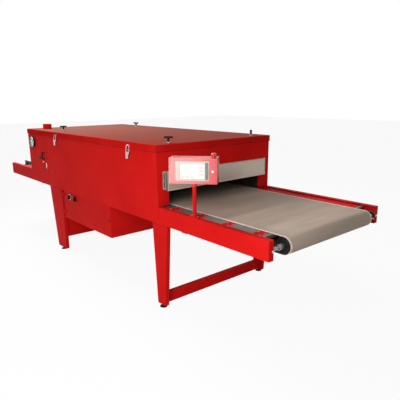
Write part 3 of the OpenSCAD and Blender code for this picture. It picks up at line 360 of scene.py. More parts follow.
cast = surface("cast_aluminium", (150, 152, 154), (128, 130, 132), (0.42, 0.6), 0.6, (420.0, 0.45, 0.0004),
               20.0, edge=(0.6, (205, 205, 205)), dust=(0.3, GREY_DUST))
pale_sheet = surface("sheet_aluminium", (214, 196, 184), (200, 183, 171), (0.38, 0.5), 0.15, ROLLED, 3.0,
                     edge=(0.5, (235, 232, 226)), dust=(0.15, (170, 160, 148)), scratch=0.7, pull=(1, 0.2, 1))
shutter_sheet = surface("shutter_sheet", (204, 190, 176), (186, 173, 160), (0.36, 0.5), 0.5, SPANGLED, 9.0,
                        edge=(0.4, (230, 222, 210)), dust=(0.15, (160, 150, 138)), scratch=0.4,
                        pull=(1, 0.2, 1))
hem_sheet = surface("hem_sheet", (226, 208, 192), (206, 190, 176), (0.36, 0.48), 0.1, ROLLED, 8.0,
                    edge=(0.5, (245, 238, 230)), scratch=0.4)
black_plastic = surface("black_plastic", (20, 20, 21), (32, 32, 33), (0.38, 0.55), 0.0,
                        (1100.0, 0.35, 0.0002), 40.0, edge=(0.5, (75, 74, 72)), dust=(0.12, DARK_DUST),
                        scratch=0.3)
black_steel = surface("black_steel", (26, 26, 27), (44, 43, 42), (0.34, 0.5), 0.5, (800.0, 0.3, 0.0002), 30.0,
                      edge=(0.8, (140, 138, 135)), dust=(0.12, DARK_DUST), scratch=0.4)
cloth = surface("belt_cloth", (196, 177, 161), (163, 145, 130), (0.62, 0.78), 0.0, (1300.0, 0.4, 0.0003), 5.0,
                dust=(0.05, (175, 165, 150)), scratch=0.1, pull=(1, 0.14, 1))
hem_white = surface("belt_hem", (240, 226, 212), (226, 210, 194), (0.6, 0.75), 0.0, (1500.0, 0.5, 0.0003),
                    30.0, dust=(0.1, (175, 165, 150)), shine=0.1)
# A near-black grey sheet inside the tunnel: the liners, the heater frame and its panels.
dark_sheet = surface("tunnel_dark_sheet", (62, 58, 53), (46, 43, 39), (0.45, 0.62), 0.5, SPANGLED, 12.0,
                     edge=(0.5, (120, 112, 100)), dust=(0.2, (84, 78, 70)), scratch=0.3)
wool = surface("mineral_wool", (204, 190, 140), (176, 160, 112), (0.85, 0.95), 0.0, (300.0, 0.9, 0.003), 25.0)
screen = surface("screen", (236, 242, 240), (226, 234, 234), (0.12, 0.18), 0.0, (300.0, 0.05, 0.00005), 6.0)
rubber = surface("black_rubber", (18, 18, 18), (30, 30, 29), (0.55, 0.75), 0.0, (1400.0, 0.4, 0.0002), 30.0,
                 dust=(0.2, (110, 104, 96)), shine=0.2)
white_plastic = surface("button_plastic", (238, 236, 232), (226, 224, 220), (0.28, 0.38), 0.0, MOULDED, 60.0,
                        dust=(0.05, (190, 184, 176)))
red_plastic = surface("stop_plastic", (205, 16, 14), (186, 12, 12), (0.24, 0.34), 0.0, MOULDED, 60.0,
                      dust=(0.05, (190, 150, 140)), scratch=0.2)
grey_plastic = surface("device_grey", (196, 198, 196), (184, 186, 184), (0.42, 0.55), 0.0, POLISHED, 30.0,
                       dust=(0.2, (150, 144, 136)))
SLOTS = {"paint": paint_red, "zinc_sheet": zinc, "aluminium": cast, "bright_steel": steel,
         "sheet_aluminium": pale_sheet, "black_plastic": black_plastic, "black_steel": black_steel,
         "belt_cloth": cloth, "mineral_wool": wool, "screen": screen, "button_plastic": white_plastic,
         "stop_plastic": red_plastic}
print("material slots:", len(SLOTS))

# %% Painted sheen and shade on the lid
# Painted reflection and shade: where you look along the lid's top, Layer Weight mixes in a grey-brown that
# stands for the pale sheen and the shade seen there, in patches.
tree = lid_paint.node_tree
base = tree.nodes["Principled BSDF"].inputs["Base Color"]
grazing_sheen = span(tree, add_node(tree, "ShaderNodeLayerWeight").outputs["Facing"], 0.8, 0.95)
sheen_patches = span(tree, noise(tree, object_place(tree), 1.8, 5.0), 0.3, 0.7, 0.72, 0.95)
amount = product(tree, grazing_sheen, sheen_patches, upward(tree, 0.8, 0.97))
# Painted sheen and shade: the grey-brown tone below is mixed in where the top is seen at a low angle.
wire(tree, tint(tree, amount, base.links[0].from_socket, tone((120, 99, 88))), base)
print("painted sheen and shade on the lid:", len(tree.nodes), "nodes")

# %% [markdown]
# ## Bevelled copies of the CAD pieces
# A CAD edge is perfectly sharp and catches no light. A bevel of one or two millimetres gives every edge the
# small highlight that folded sheet has. The CAD mesh itself stays as it is: a copy is cleaned, bevelled and
# shown for it.

# %% Bevel tools
SMOOTH_LIMIT = math.radians(42)


def sharp_edges(bm, degrees=34):
    limit = math.radians(degrees)
    return [e for e in bm.edges if len(e.link_faces) == 2 and e.calc_face_angle(0) > limit]


def bevel(bm, width, segments=2):
    """Bevels the sharp edges and marks the new faces for the worn_edges group."""
    layer = bm.faces.layers.float.get("edge") or bm.faces.layers.float.new("edge")
    done = bmesh.ops.bevel(bm, geom=sharp_edges(bm), offset=width, offset_type="OFFSET", segments=segments,
                           profile=0.5, affect="EDGES", clamp_overlap=True, harden_normals=False)
    for face in done["faces"]:
        face[layer] = 1.0


def put(name, bm, material, body, replaces=()):
    """Turns a bmesh into a piece that rides on a body."""
    bmesh.ops.recalc_face_normals(bm, faces=bm.faces)
    for face in bm.faces:
        face.smooth = True
    mesh = bpy.data.meshes.new(name)
    bm.to_mesh(mesh)
    bm.free()
    mesh.set_sharp_from_angle(angle=SMOOTH_LIMIT)
    for each in material if isinstance(material, tuple) else (material,):
        mesh.materials.append(each)
    piece = in_scene(bpy.data.objects.new(name, mesh))
    piece.modifiers.new("flat_faces", "WEIGHTED_NORMAL").keep_sharp = True
    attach(piece, body)
    if replaces:
        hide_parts(*replaces)
    return piece


def soften(node, width):
    bm = bmesh.new()
    bm.from_mesh(NODES[node].data)
    bmesh.ops.remove_doubles(bm, verts=bm.verts, dist=0.00002)
    bmesh.ops.dissolve_limit(bm, angle_limit=math.radians(1), verts=bm.verts, edges=bm.edges)
    bevel(bm, width)
    slot = SLOT_OF[node]
    return put(node + "_look", bm, LOOK_OF.get(node, SLOTS[slot]), BODY[node], (node,))


SLOT_OF = {part["node"]: part["material_slot"] for part in frame["record"]["subparts"]}
print("nodes with a slot:", len(SLOT_OF))

# %% Soften the nodes
# Widths in millimetres: thin sheet gets a small bevel, castings and blocks a larger one.
BEVELS = {
    "side_rails": 2.5, "cross_members": 2.0, "slider_plates": 0.8, "infeed_guides": 1.2,
    "front_legs": 1.4, "rear_legs": 1.4, "leg_braces": 1.4, "levelling_feet": 1.0, "hood_sides": 1.2,
    "rear_covers": 1.2, "front_end_frame": 0.7, "rear_end_frame": 0.7, "tunnel_liners": 0.6,
    "side_insulation": 5.0, "hinge_lower": 0.12, "latch_bases": 0.6, "bearing_blocks": 1.5,
    "frame_bolts": 0.5, "gearmotor": 3.0, "panel_post": 1.0, "cabinet_box": 0.9, "cabinet_devices": 1.5,
    "fan_housing": 1.0, "thermometer_case": 1.5, "damper_guides": 0.8, "access_handle": 1.2,
    "lid_shell": 1.4, "lid_insulation": 4.0, "hinge_upper": 0.12, "lid_keepers": 0.6,
    "exhaust_stub": 1.0, "screw_collars": 1.0, "heater_frame": 1.5, "heater_panels": 1.5,
    "latch_lever_front": 0.5, "latch_lever_rear": 0.5, "latch_bail_front": 0.3, "latch_bail_rear": 0.3,
    "front_shutter": 0.8, "rear_shutter": 0.8, "return_roller_front": 1.0, "return_roller_rear": 1.0,
    "fan_impeller": 0.6, "air_damper": 0.7, "panel_box": 1.1, "panel_bezel": 1.0, "push_button": 0.8,
    "emergency_stop": 1.6, "cabinet_door": 0.8, "isolator_knob": 1.2, "selector_knob": 1.2,
}
# Nodes that look unlike the rest of their slot
LOOK_OF = {"panel_box": panel_paint, "emergency_stop": panel_paint, "panel_bezel": pale_sheet,
           "front_shutter": shutter_sheet, "rear_shutter": shutter_sheet, "lid_shell": lid_paint,
           "tunnel_liners": dark_sheet, "heater_frame": dark_sheet, "heater_panels": dark_sheet,
           "latch_bases": paint_red, "lid_keepers": paint_red, "damper_guides": paint_red,
           "air_damper": paint_red, "thermometer_case": black_steel, "levelling_feet": black_steel}
looks = {node: soften(node, width / 1000) for node, width in BEVELS.items()}
print("bevelled copies:", len(looks), "faces:", sum(len(o.data.polygons) for o in looks.values()))

# %% [markdown]
# ## Tools for turned and bent pieces
# Most small parts of a machine are turned on a lathe, so one function spins an outline round an axis.
# Another drags a round section along a path for threads. Boxes are only a start: they are bevelled before
# they are shown. Screws and rivets come in rows, so one function sets the same shape at many places and
# makes one piece.

# %% Shape tools
def box_in(bm, low, high):
    for vertex in bmesh.ops.create_cube(bm, size=1.0)["verts"]:
        vertex.co = [low[i] + (vertex.co[i] + 0.5) * (high[i] - low[i]) for i in range(3)]


def mm(*points):
    """Outline points given in millimetres."""
    return [(r / 1000, height / 1000) for r, height in points]


def ring(bm, centre, side, other, radius, sides):
    turn = [2 * math.pi * k / sides for k in range(sides)]
    return [bm.verts.new(centre + (side * math.cos(t) + other * math.sin(t)) * radius) for t in turn]


def bridge(bm, a, b):
    count = max(len(a), len(b))
    for k in range(count):
        corners = [a[k % len(a)], a[(k + 1) % len(a)], b[(k + 1) % len(b)], b[k % len(b)]]
        face = [v for i, v in enumerate(corners) if v not in corners[:i]]
        if len(face) > 2:
            bm.faces.new(face)


def turned(bm, base, axis, outline, sides):
    """Spins (radius, height) points round an axis; a radius of 0 closes the end."""
    base, axis = Vector(base), Vector(axis).normalized()
    side = axis.orthogonal().normalized()
    rows = []
    for r, height in outline:
        centre = base + axis * height
        rows.append(ring(bm, centre, side, axis.cross(side), r, sides) if r > 0 else [bm.verts.new(centre)])
    for a, b in zip(rows, rows[1:]):
        bridge(bm, a, b)


def rod(bm, start, end, radius, sides, rim=0.0):
    axis = Vector(end) - Vector(start)
    length = axis.length
    wall = [(radius, 0), (radius, length)]
    if rim:
        wall = [(radius - rim, 0), (radius, rim), (radius, length - rim), (radius - rim, length)]
    turned(bm, start, axis, [(0, 0)] + wall + [(0, length)], sides)


def swept(bm, points, radius, sides=5):
    """A round wire along a path; each ring keeps the direction of the last one, so it never twists."""
    rows, side = [], None
    for i, point in enumerate(points):
        ahead = (points[min(i + 1, len(points) - 1)] - points[max(i - 1, 0)]).normalized()
        side = (side - ahead * side.dot(ahead)).normalized() if side else ahead.orthogonal().normalized()
        rows.append(ring(bm, point, side, ahead.cross(side), radius, sides))
    for a, b in zip(rows, rows[1:]):
        bridge(bm, a, b)
    bm.faces.new(rows[0][::-1])
    bm.faces.new(rows[-1])


def helix(bm, base, radius, turn, rise, steps, wire_radius):
    """A thread round the Z axis; turn and rise are those of one step."""
    x, y, z = base
    swept(bm, [Vector((x + radius * math.cos(turn * k), y + radius * math.sin(turn * k), z + rise * k))
               for k in range(steps)], wire_radius)


def button_screw(bm, base, axis, r):
    """A round head with a hex recess."""
    recess = 0.42 * r
    head = [(0, 0), (r, 0), (r, 0.2 * r), (0.8 * r, 0.55 * r), (0.5 * r, 0.66 * r), (recess, 0.66 * r)]
    turned(bm, base, axis, head, 20)
    floor = Vector(base) + Vector(axis).normalized() * 0.25 * r
    turned(bm, floor, axis, [(0, 0), (recess, 0), (recess, 0.41 * r)], 6)


def hex_head(bm, base, axis, r, h):
    turned(bm, base, axis, [(0, 0), (1.3 * r, 0), (1.3 * r, 0.12 * h), (r, 0.14 * h)], 28)
    turned(bm, base, axis, [(r, 0.1 * h), (r, 0.9 * h), (0.86 * r, h), (0, h)], 6)


def rivet(bm, base, axis, r):
    turned(bm, base, axis, [(r, 0), (0.9 * r, 0.25 * r), (0.5 * r, 0.5 * r), (0, 0.56 * r)], 16)


def thin_plate(bm, corners):
    bm.faces.new([bm.verts.new(v) for v in corners])


def assemble(name, material, body, slot, *groups, rounded=None, at=None, replaces=()):
    """One piece of many small shapes. A group is (tool, its sizes, its places); a place is (base, axis),
    or two ends or corners. rounded is (width, segments) of a bevel on all of them."""
    bm = bmesh.new()
    for tool, sizes, places in groups:
        for start, end in places:
            tool(bm, start, end, *sizes)
    if rounded:
        bevel(bm, *rounded)
    if at:
        bmesh.ops.transform(bm, matrix=at, verts=bm.verts)
    return put(name, bm, material, body, replaces)


def both_sides(x, y, z, facing=1):
    """The same place on the near and the far side, with the axis outwards (facing 1) or inwards (-1)."""
    return [((x, side * y, z), Y * side * facing) for side in (-1, 1)]


def middle(node):
    low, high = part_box(node)
    return (low + high) / 2


print("shape tools ready")

# %% [markdown]
# ## Belt
# The belt is glass cloth with a non-stick coat. Its edges are folded over and stitched, which shows as a
# pale hem all round the loop. A flat strip with a picture would be quicker, but the hem has a thickness of
# its own that catches the light at the end roller, so the band is built as one closed loop with a raised
# column at each edge.

# %% Belt
belt_low, belt_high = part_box("belt")
wrap = (belt_high.z - belt_low.z) / 2
axis_z = (belt_high.z + belt_low.z) / 2
idler_x, drive_x = middle("idler_roller").x, middle("drive_roller").x
belt_half = belt_high.y
BELT_THICK, HEM, STITCH = 0.003, 0.016, 0.012


def belt_loop(inset):
    """The outline of the loop, seen from the side, that far inside its outer face."""
    r = wrap - inset
    run = [drive_x + (idler_x - drive_x) * k / 70 for k in range(71)]
    turn = [math.pi / 2 - math.pi * k / 28 for k in range(1, 28)]
    top = [(x, axis_z + r) for x in run]
    nose = [(idler_x + r * math.cos(t), axis_z + r * math.sin(t)) for t in turn]
    under = [(x, axis_z - r) for x in reversed(run)]
    tail = [(drive_x - r * math.cos(t), axis_z - r * math.sin(t)) for t in turn]
    return top + nose + under + tail


def belt_band():
    """Columns run across the belt as (y, depth): the hem lies 0.7 mm higher than the cloth between."""
    bm = bmesh.new()
    half, sink = belt_half, 0.0007
    columns = [(half, BELT_THICK - 0.0004), (half, 0.0004), (half - 0.0006, 0), (half - HEM, 0),
               (half - HEM - 0.0008, sink)]
    inner = [(half * k / 6, sink) for k in range(5, -6, -1)]
    across = columns + inner + [(-y, d) for y, d in reversed(columns)] + [(0, BELT_THICK)]
    rows = [[bm.verts.new((x, y, z)) for x, z in belt_loop(depth)] for y, depth in across]
    count = len(rows[0])
    for i, row in enumerate(rows):
        after = rows[(i + 1) % len(rows)]
        for k in range(count):
            face = bm.faces.new((row[k], row[(k + 1) % count], after[(k + 1) % count], after[k]))
            edge_y = min(abs(row[k].co.y), abs(after[k].co.y))
            face.material_index = 1 if edge_y > half - HEM - 0.0002 else 0
    return put("belt_band", bm, (cloth, hem_white), "frame", ("belt",))


def hem_stitches():
    """Two rows of stitches on each hem, along the top run."""
    z = axis_z + wrap + 0.0001
    rows = [side * (belt_half - inset) for side in (-1, 1) for inset in (0.004, 0.012)]
    starts = [drive_x + STITCH * k for k in range(math.ceil((idler_x - drive_x) / STITCH))]
    return assemble("belt_stitches", hem_white, "frame", "belt_cloth",
                    (rod, (0.0005, 5), [((x, y, z), (x + STITCH / 2, y, z)) for y in rows for x in starts]))


print("belt faces:", len(belt_band().data.polygons), "stitch faces:", len(hem_stitches().data.polygons))

# %% [markdown]
# ## Rollers
# A driven belt needs grip, so the drums are covered with rubber; black end discs keep the belt on them, and
# a bright hub carries each shaft. The drum, the discs and the hub are separate pieces, because each has its
# own finish.

# %% End rollers
def roller_set(node, body, x):
    low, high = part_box(node)
    drum = wrap - BELT_THICK - 0.0003
    wide, hub_end = 2 * belt_half, belt_half + 0.055
    tube = [(0.03, 0), (drum - 0.001, 0), (drum, 0.001), (drum, wide - 0.001), (drum - 0.001, wide),
            (0.03, wide), (0.03, 0)]
    disc = [(0.02, 0), (drum - 0.004, 0), (drum - 0.004, 0.005), (drum - 0.007, 0.007), (0.04, 0.007),
            (0.036, 0.0045), (0.024, 0.0045), (0.02, 0)]
    hub = [(0, belt_half), (0.022, belt_half), (0.022, belt_half + 0.018), (0.0205, belt_half + 0.02),
           (0.0205, hub_end - 0.006), (0.019, hub_end - 0.0015), (0.017, hub_end), (0, hub_end)]
    screws = [((x + 0.0115, side * (belt_half + 0.036), axis_z + 0.0165), (0.57, 0, 0.82))
              for side in (-1, 1)]
    assemble(node + "_drum", rubber, body, "bright_steel",
             (turned, (tube, 72), [((x, -belt_half, axis_z), Y)]), replaces=(node,))
    assemble(node + "_discs", black_plastic, body, "bright_steel",
             (turned, (disc, 64), both_sides(x, belt_half - 0.001, axis_z)))
    assemble(node + "_shaft", hub_steel, body, "bright_steel", (turned, (hub, 40), both_sides(x, 0, axis_z)),
             (rod, (0.0119, 32, 0.001), [((x, low.y, axis_z), (x, high.y, axis_z))]))
    assemble(node + "_screws", steel, body, "bright_steel", (button_screw, (0.004,), screws))


roller_set("idler_roller", "roller_idler", idler_x)
roller_set("drive_roller", "roller_drive", drive_x)
print("roller drum radius:", round(wrap - BELT_THICK, 4))

# %% [markdown]
# ## Lift screws
# Each screw hangs the heater frame from the lid. Its black cross handle is moulded, thicker in the middle
# and round at the ends; below it runs a long thread. The thread is a real helix with the pitch of the
# joint, 8 mm for each turn, so it seems to travel when the heater is raised. A bump texture could not be
# seen from the side.

# %% Cross handles and threads
HANDLE_TURNS = {"lift_screw_1": 49, "lift_screw_2": 139, "lift_screw_3": 60, "lift_screw_4": 20}
PITCH, STEPS_A_TURN = 0.008, 16
lid_low, lid_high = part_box("lid_shell")
lid_top = lid_high.z


def cross_handle(node, body, degrees):
    low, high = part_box(node)
    x, y = (low.x + high.x) / 2, (low.y + high.y) / 2
    collar_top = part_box("screw_collars")[1].z
    t = math.radians(degrees)
    half = 0.0375
    arm = [(0, -half), (0.005, -half + 0.0006), (0.0086, -half + 0.0032), (0.0094, -half + 0.008),
           (0.008, -0.016), (0.0092, -0.008)]
    bar = arm + [(r, -h) for r, h in reversed(arm)]
    neck = mm((0, 0), (10.5, 0), (11, 0.8), (9.5, 4), (9.5, 22), (10.8, 30), (0, 30))
    assemble(node + "_handle", black_plastic, body, "black_plastic",
             (turned, (bar, 28), [((x, y, high.z - 0.008), (math.cos(t), math.sin(t), 0))]),
             (turned, (neck, 28), [((x, y, collar_top + 0.0004), Z)]), replaces=(node,))
    bm = bmesh.new()
    rod(bm, (x, y, low.z), (x, y, collar_top + 0.002), 0.0084, 24, 0.0008)
    steps = int((lid_top - low.z - 0.016) / PITCH * STEPS_A_TURN)
    helix(bm, (x, y, low.z + 0.005), radius=0.0086, turn=2 * math.pi / STEPS_A_TURN,
          rise=PITCH / STEPS_A_TURN, steps=steps, wire_radius=0.0014)
    put(node + "_thread", bm, steel, body)
    return round(x, 3), round(y, 3)


print("cross handles at:", [cross_handle(node, node.replace("lift_screw", "screw"), turn)
                            for node, turn in HANDLE_TURNS.items()])

# %% [markdown]
# ## Lid, hood and bed details
# Folded sheet shows how it was made: a black gasket under the lid's lip, whose black also paints the shade
# line there, small screws round the covers, and a painted strip that closes the gap beside the belt on the
# far side. These are thin pieces laid on the bevelled sheets.

# %% Gasket, screws of the covers, far strip, bed screws
def hood_trim():
    hood_low, hood_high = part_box("hood_sides")
    rear_low, rear_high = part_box("rear_covers")
    x1, x2, y = rear_low.x - 0.0028, hood_high.x + 0.0028, hood_high.y
    z1, z2 = lid_low.z - 0.0038, lid_low.z - 0.0006
    strips = [((x1, -y - 0.0028, z1), (x2, -y - 0.0002, z2))]
    strips += [((x, -y, z1), (x + 0.0026, y - 0.004, z2)) for x in (x1, x2 - 0.0026)]
    # The gasket's black strips also paint the shade line under the lid's lip.
    assemble("lid_gasket_shade_line", rubber, "frame", "black_plastic", (box_in, (), strips), rounded=(0.0006, 2))
    screws = []
    for x in (rear_low.x + 0.02, rear_high.x - 0.02):
        for z in (0.93, 1.12, 1.315):
            screws += both_sides(x, rear_high.y, z)
    row, count = hood_high.x - hood_low.x - 0.12, 8
    for k in range(count):
        screws += both_sides(hood_low.x + 0.06 + row * k / (count - 1), hood_high.y, hood_low.z + 0.03)
    assemble("cover_screws", paint_red, "frame", "paint", (button_screw, (0.0042,), screws))


def far_strip():
    """The strip beside the belt on the far side, over the bed plates."""
    bed_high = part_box("slider_plates")[1]
    hood_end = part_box("front_end_frame")[1].x
    inner, outer = belt_half + 0.005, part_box("side_rails")[1].y - 0.046
    x1, x2, top = hood_end - 0.02, bed_high.x - 0.02, bed_high.z
    folded = [((x1, inner, top + 0.0002), (x2, outer, top + 0.0016)),
              ((x1, inner, top - 0.004), (x2, inner + 0.0014, top + 0.001))]
    assemble("far_strip", paint_red, "frame", "paint", (box_in, (), folded), rounded=(0.0004, 1))
    assemble("far_strip_screws", paint_red, "frame", "paint",
             (button_screw, (0.004,), [((hood_end + 0.1 + k * 0.22, (inner + outer) / 2, top + 0.0015), Z)
                                       for k in range(5)]))


def bed_screws():
    """Countersunk screws that hold each bed plate to its cross member, beside the belt."""
    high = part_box("cross_members")[1]
    ends = sorted({round(v.co.x, 3) for v in NODES["cross_members"].data.vertices})
    inset = 0.014
    places = [((x, side * y, high.z), Z) for x1, x2 in zip(ends[0::2], ends[1::2]) for side in (-1, 1)
              for y in (belt_half + 0.03, high.y - 0.075) for x in (x1 + inset, x2 - inset)]
    head = mm((0, 0.2), (1.4, 0.2), (1.6, 0.8), (4, 0.8), (4.6, 0))
    assemble("bed_screws", steel, "frame", "bright_steel", (turned, (head, 14), places))
    return len(places)


hood_trim()
far_strip()
print("bed screws:", bed_screws())

# %% [markdown]
# ## Shutters
# The shutter's pad is folded from pale sheet. Its upper edge is turned over twice, which makes the bright
# line that shows first in the photo. Thin dark strips lie behind the slots: painted shade, so the slots look
# dark. The folded sides are left as bare zinc, so they are darker than the face.

# %% Shutter hems, painted slot shade and folded sides
HEM_THICK, SLOT_SHADE_THICK = 0.0014, 0.00022


def shutter_trim(node, body, ahead, back):
    low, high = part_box(node)
    face = high.x if ahead > 0 else low.x
    pad, slot_y, slot_z = high.y - 0.028, high.y - 0.014, (low.z + 0.01 + high.z) / 2

    def plate(x, thick, y1, y2, z1, z2):
        x1, x2 = sorted((x, x + ahead * thick))
        return (x1, min(y1, y2), z1), (x2, max(y1, y2), z2)

    hem = [plate(face, HEM_THICK, -pad, pad, high.z - 0.011, high.z + 0.0004),
           plate(face, HEM_THICK, -pad, pad, low.z - 0.0002, low.z + 0.008)]
    hem += [plate(face, HEM_THICK, side * pad, side * (pad - 0.01), low.z + 0.006, high.z - 0.009)
            for side in (-1, 1)]
    # Painted shade: thin dark strips behind the slots make the slots look dark.
    slot_shade = [plate(back, SLOT_SHADE_THICK, side * (slot_y - 0.008), side * (slot_y + 0.008),
                  slot_z - 0.074, slot_z + 0.074) for side in (-1, 1)]
    assemble(node + "_hem", hem_sheet, body, "sheet_aluminium", (box_in, (), hem), rounded=(0.0005, 2))
    assemble(node + "_slot_shade", rubber, "frame", "black_plastic", (box_in, (), slot_shade), rounded=(0.00008, 1))
    sheet = looks[node].data
    sheet.materials.append(zinc)
    for polygon in sheet.polygons:
        if abs(polygon.normal.y) > 0.7:
            polygon.material_index = 1
    return round(slot_z, 3)


print("slot height:", shutter_trim("front_shutter", "shutter_front", 1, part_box("front_end_frame")[1].x),
      shutter_trim("rear_shutter", "shutter_rear", -1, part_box("rear_end_frame")[0].x))

# %% [markdown]
# ## Control box
# The box faces the operator, turned on its post, so its own pieces are built flat and then placed by one
# matrix. A lit screen is never one white: it has a header, rows and keys. They are thin tiles on its front,
# each with its own tone, because an image is not needed for a few boxes.

# %% Screen, bezel, button ring
post = middle("panel_post")
TURN, BOX_LIFT = math.radians(39.5), 0.03
box_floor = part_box("panel_box")[0].z + BOX_LIFT
panel_place = Matrix.Translation((post.x, post.y, box_floor)) @ Matrix.Rotation(TURN, 4, "Z")
FRONT, BUTTON_X = -0.055, 0.1415
SCREEN_X, SCREEN_Y, SCREEN_Z, HALF_WIDE = -0.004, FRONT - 0.002, 0.092, 0.0895
TILES = [
    ("screen_field", (228, 230, 224), (222, 225, 220), 0, [(-HALF_WIDE, HALF_WIDE, -0.0565, 0.0565)]),
    ("screen_header", (212, 217, 216), (205, 211, 211), 0.0002, [(-HALF_WIDE, HALF_WIDE, 0.044, 0.0565)]),
    ("screen_rows", (214, 218, 215), (208, 213, 211), 0.0002,
     [(-0.082, 0.035, z, z + 0.0012) for z in (0.034, 0.02, 0.006, -0.008, -0.022)]),
    ("screen_bars", (208, 220, 210), (200, 214, 203), 0.0002,
     [(-0.082, -0.082 + wide, z, z + 0.006)
      for wide, z in ((0.08, 0.024), (0.055, 0.01), (0.095, -0.004), (0.04, -0.018))]),
    ("screen_keys", (222, 212, 209), (216, 205, 203), 0.0002,
     [(0.045, 0.083, z, z + 0.017) for z in (0.018, -0.008, -0.034)]
     + [(x, x + 0.026, -0.049, -0.034) for x in (-0.082, -0.048, -0.014)]),
]


def lit(name, first, second, strength):
    material = surface(name, first, second, (0.14, 0.2), 0, (500.0, 0.05, 0.00003), 20.0, shine=0.06)
    tree = material.node_tree
    shader = tree.nodes["Principled BSDF"]
    wire(tree, shader.inputs["Base Color"].links[0].from_socket, shader.inputs["Emission Color"])
    preset(shader, {"Emission Strength": strength})
    return material


def on_panel(name, material, slot, *groups, **more):
    return assemble(name, material, "panel", slot, *groups, at=panel_place, **more)


for name, first, second, lift, tiles in TILES:
    y = SCREEN_Y - lift
    on_panel(name, lit(name, first, second, 0.06), "screen",
             (box_in, (), [((SCREEN_X + x1, y - 0.0002, SCREEN_Z + z1), (SCREEN_X + x2, y, SCREEN_Z + z2))
                           for x1, x2, z1, z2 in tiles]), rounded=(0.00004, 1))
module = ((SCREEN_X - HALF_WIDE, FRONT - 0.0018, SCREEN_Z - 0.0568),
          (SCREEN_X + HALF_WIDE, FRONT + 0.029, SCREEN_Z + 0.0568))
on_panel("screen_module", black_plastic, "screen", (box_in, (), [module]), rounded=(0.0006, 2),
         replaces=("panel_screen",))
collar = mm((10.2, 0), (14.5, 0), (14.5, 1.4), (13, 2.4), (10.2, 2.4))
on_panel("button_ring", panel_paint, "paint",
         (turned, (collar, 32), [((BUTTON_X, FRONT + 0.0002, 0.09016), -Y)]))
cap = mm((0, 0), (5.5, 0), (5.5, 2), (4.5, 4.5), (2.5, 6), (0, 6.4))
on_panel("ready_lamp", lit("lamp_cap", (240, 240, 235), (230, 230, 225), 0.3), "screen",
         (turned, (cap, 20), [((-0.15, FRONT + 0.01, 0.1836), Z)]))
louvres = [((-0.06, -FRONT - 0.0002, 0.06 + k * 0.01), (0.06, -FRONT + 0.0012, 0.064 + k * 0.01))
           for k in range(7)]
on_panel("box_back_louvres", paint_red, "paint",
         (button_screw, (0.0035,), [((x, -FRONT, z), Y) for x in (-0.16, 0.16) for z in (0.012, 0.172)]),
         (box_in, (), louvres))
collar = mm((11.2, 0), (20.5, 0), (20.5, 5.6), (19.5, 6.4), (11.2, 6.4))
on_panel("stop_collar", panel_paint, "stop_plastic", (turned, (collar, 36), [((BUTTON_X, 0, 0.1842), Z)]))
strip_grey = surface("bezel_strip", (132, 138, 126), (118, 124, 114), (0.4, 0.55), 0, (800.0, 0.2, 0.0002),
                     20.0, dust=(0.1, (150, 145, 138)), scratch=0.3)
strip = ((0.0885, FRONT - 0.005, 0.03), (0.1115, FRONT - 0.0038, 0.154))
on_panel("bezel_strip", strip_grey, "zinc_sheet", (box_in, (), [strip]), rounded=(0.0003, 2))
rim = [((x1, FRONT - 0.0056, z1), (x2, FRONT - 0.0036, z2)) for x1, x2, z1, z2 in (
    (-0.0975, -0.0945, 0.0325, 0.1515), (0.0865, 0.0888, 0.0325, 0.1515), (-0.0945, 0.0865, 0.0325, 0.0348),
    (-0.0945, 0.0865, 0.1492, 0.1515))]
on_panel("screen_rim", hem_sheet, "zinc_sheet", (box_in, (), rim), rounded=(0.0004, 2))
print("panel at", tuple(round(v, 3) for v in panel_place.translation))

# %% [markdown]
# ## Thermometer
# The dial is a white disc with a scale: long and short marks in a ring, and plain numbers. The marks are
# thin plates in a circle, which stay sharp at any distance. A glass closes the case; it keeps the needle
# free below it.

# %% Dial, marks, numbers
gauge = middle("thermometer_case")
case_low, case_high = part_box("thermometer_case")
dial_y = case_high.y - 0.01


def dial_point(degrees, radius, lift):
    """A point of the dial seen from outside: 0 degrees is at the right, and it counts upwards."""
    t = math.radians(degrees)
    return Vector((gauge.x + radius * math.cos(t), dial_y - lift, gauge.z + radius * math.sin(t)))


def dial_marks():
    bm = bmesh.new()
    for k in range(31):
        degrees = 225 - 9 * k
        inner, half_wide = (0.049, 0.0004) if k % 5 else (0.044, 0.0009)
        side = (dial_point(degrees + 90, 1, 0) - dial_point(0, 0, 0)).normalized() * half_wide
        side.y = 0
        a, b = dial_point(degrees, inner, 0.0009), dial_point(degrees, 0.053, 0.0009)
        thin_plate(bm, (a - side, a + side, b + side, b - side))
    bmesh.ops.solidify(bm, geom=bm.faces[:], thickness=0.0002)
    put("dial_marks", bm, black_plastic, "frame")


def dial_number(label, degrees):
    """A number, as thin as ink, that faces out of the dial."""
    text = bpy.data.curves.new("dial_number_" + label, "FONT")
    text.body, text.size, text.extrude, text.align_x, text.align_y = label, 0.01, 0.0001, "CENTER", "CENTER"
    text.materials.append(black_plastic)
    number = in_scene(bpy.data.objects.new("dial_number_" + label, text))
    place = Matrix.Translation(dial_point(degrees, 0.0355, 0.001))
    number.matrix_world = place @ Matrix.Rotation(math.pi / 2, 4, "X")
    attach(number, "frame")


dial_white = surface("dial_white", (236, 234, 228), (226, 223, 214), (0.4, 0.5), 0,
                     (900.0, 0.1, 0.0001), 40.0)
disc = mm((3.3, 0), (57.5, 0), (57.5, 0.8), (3.3, 0.8), (3.3, 0))
assemble("dial_face", dial_white, "frame", "bright_steel",
         (turned, (disc, 64), [((gauge.x, dial_y + 0.0002, gauge.z), -Y)]))
dial_marks()
for k in range(7):
    dial_number(str(50 * k), 225 - 45 * k)
print("dial centre:", tuple(round(v, 3) for v in gauge))

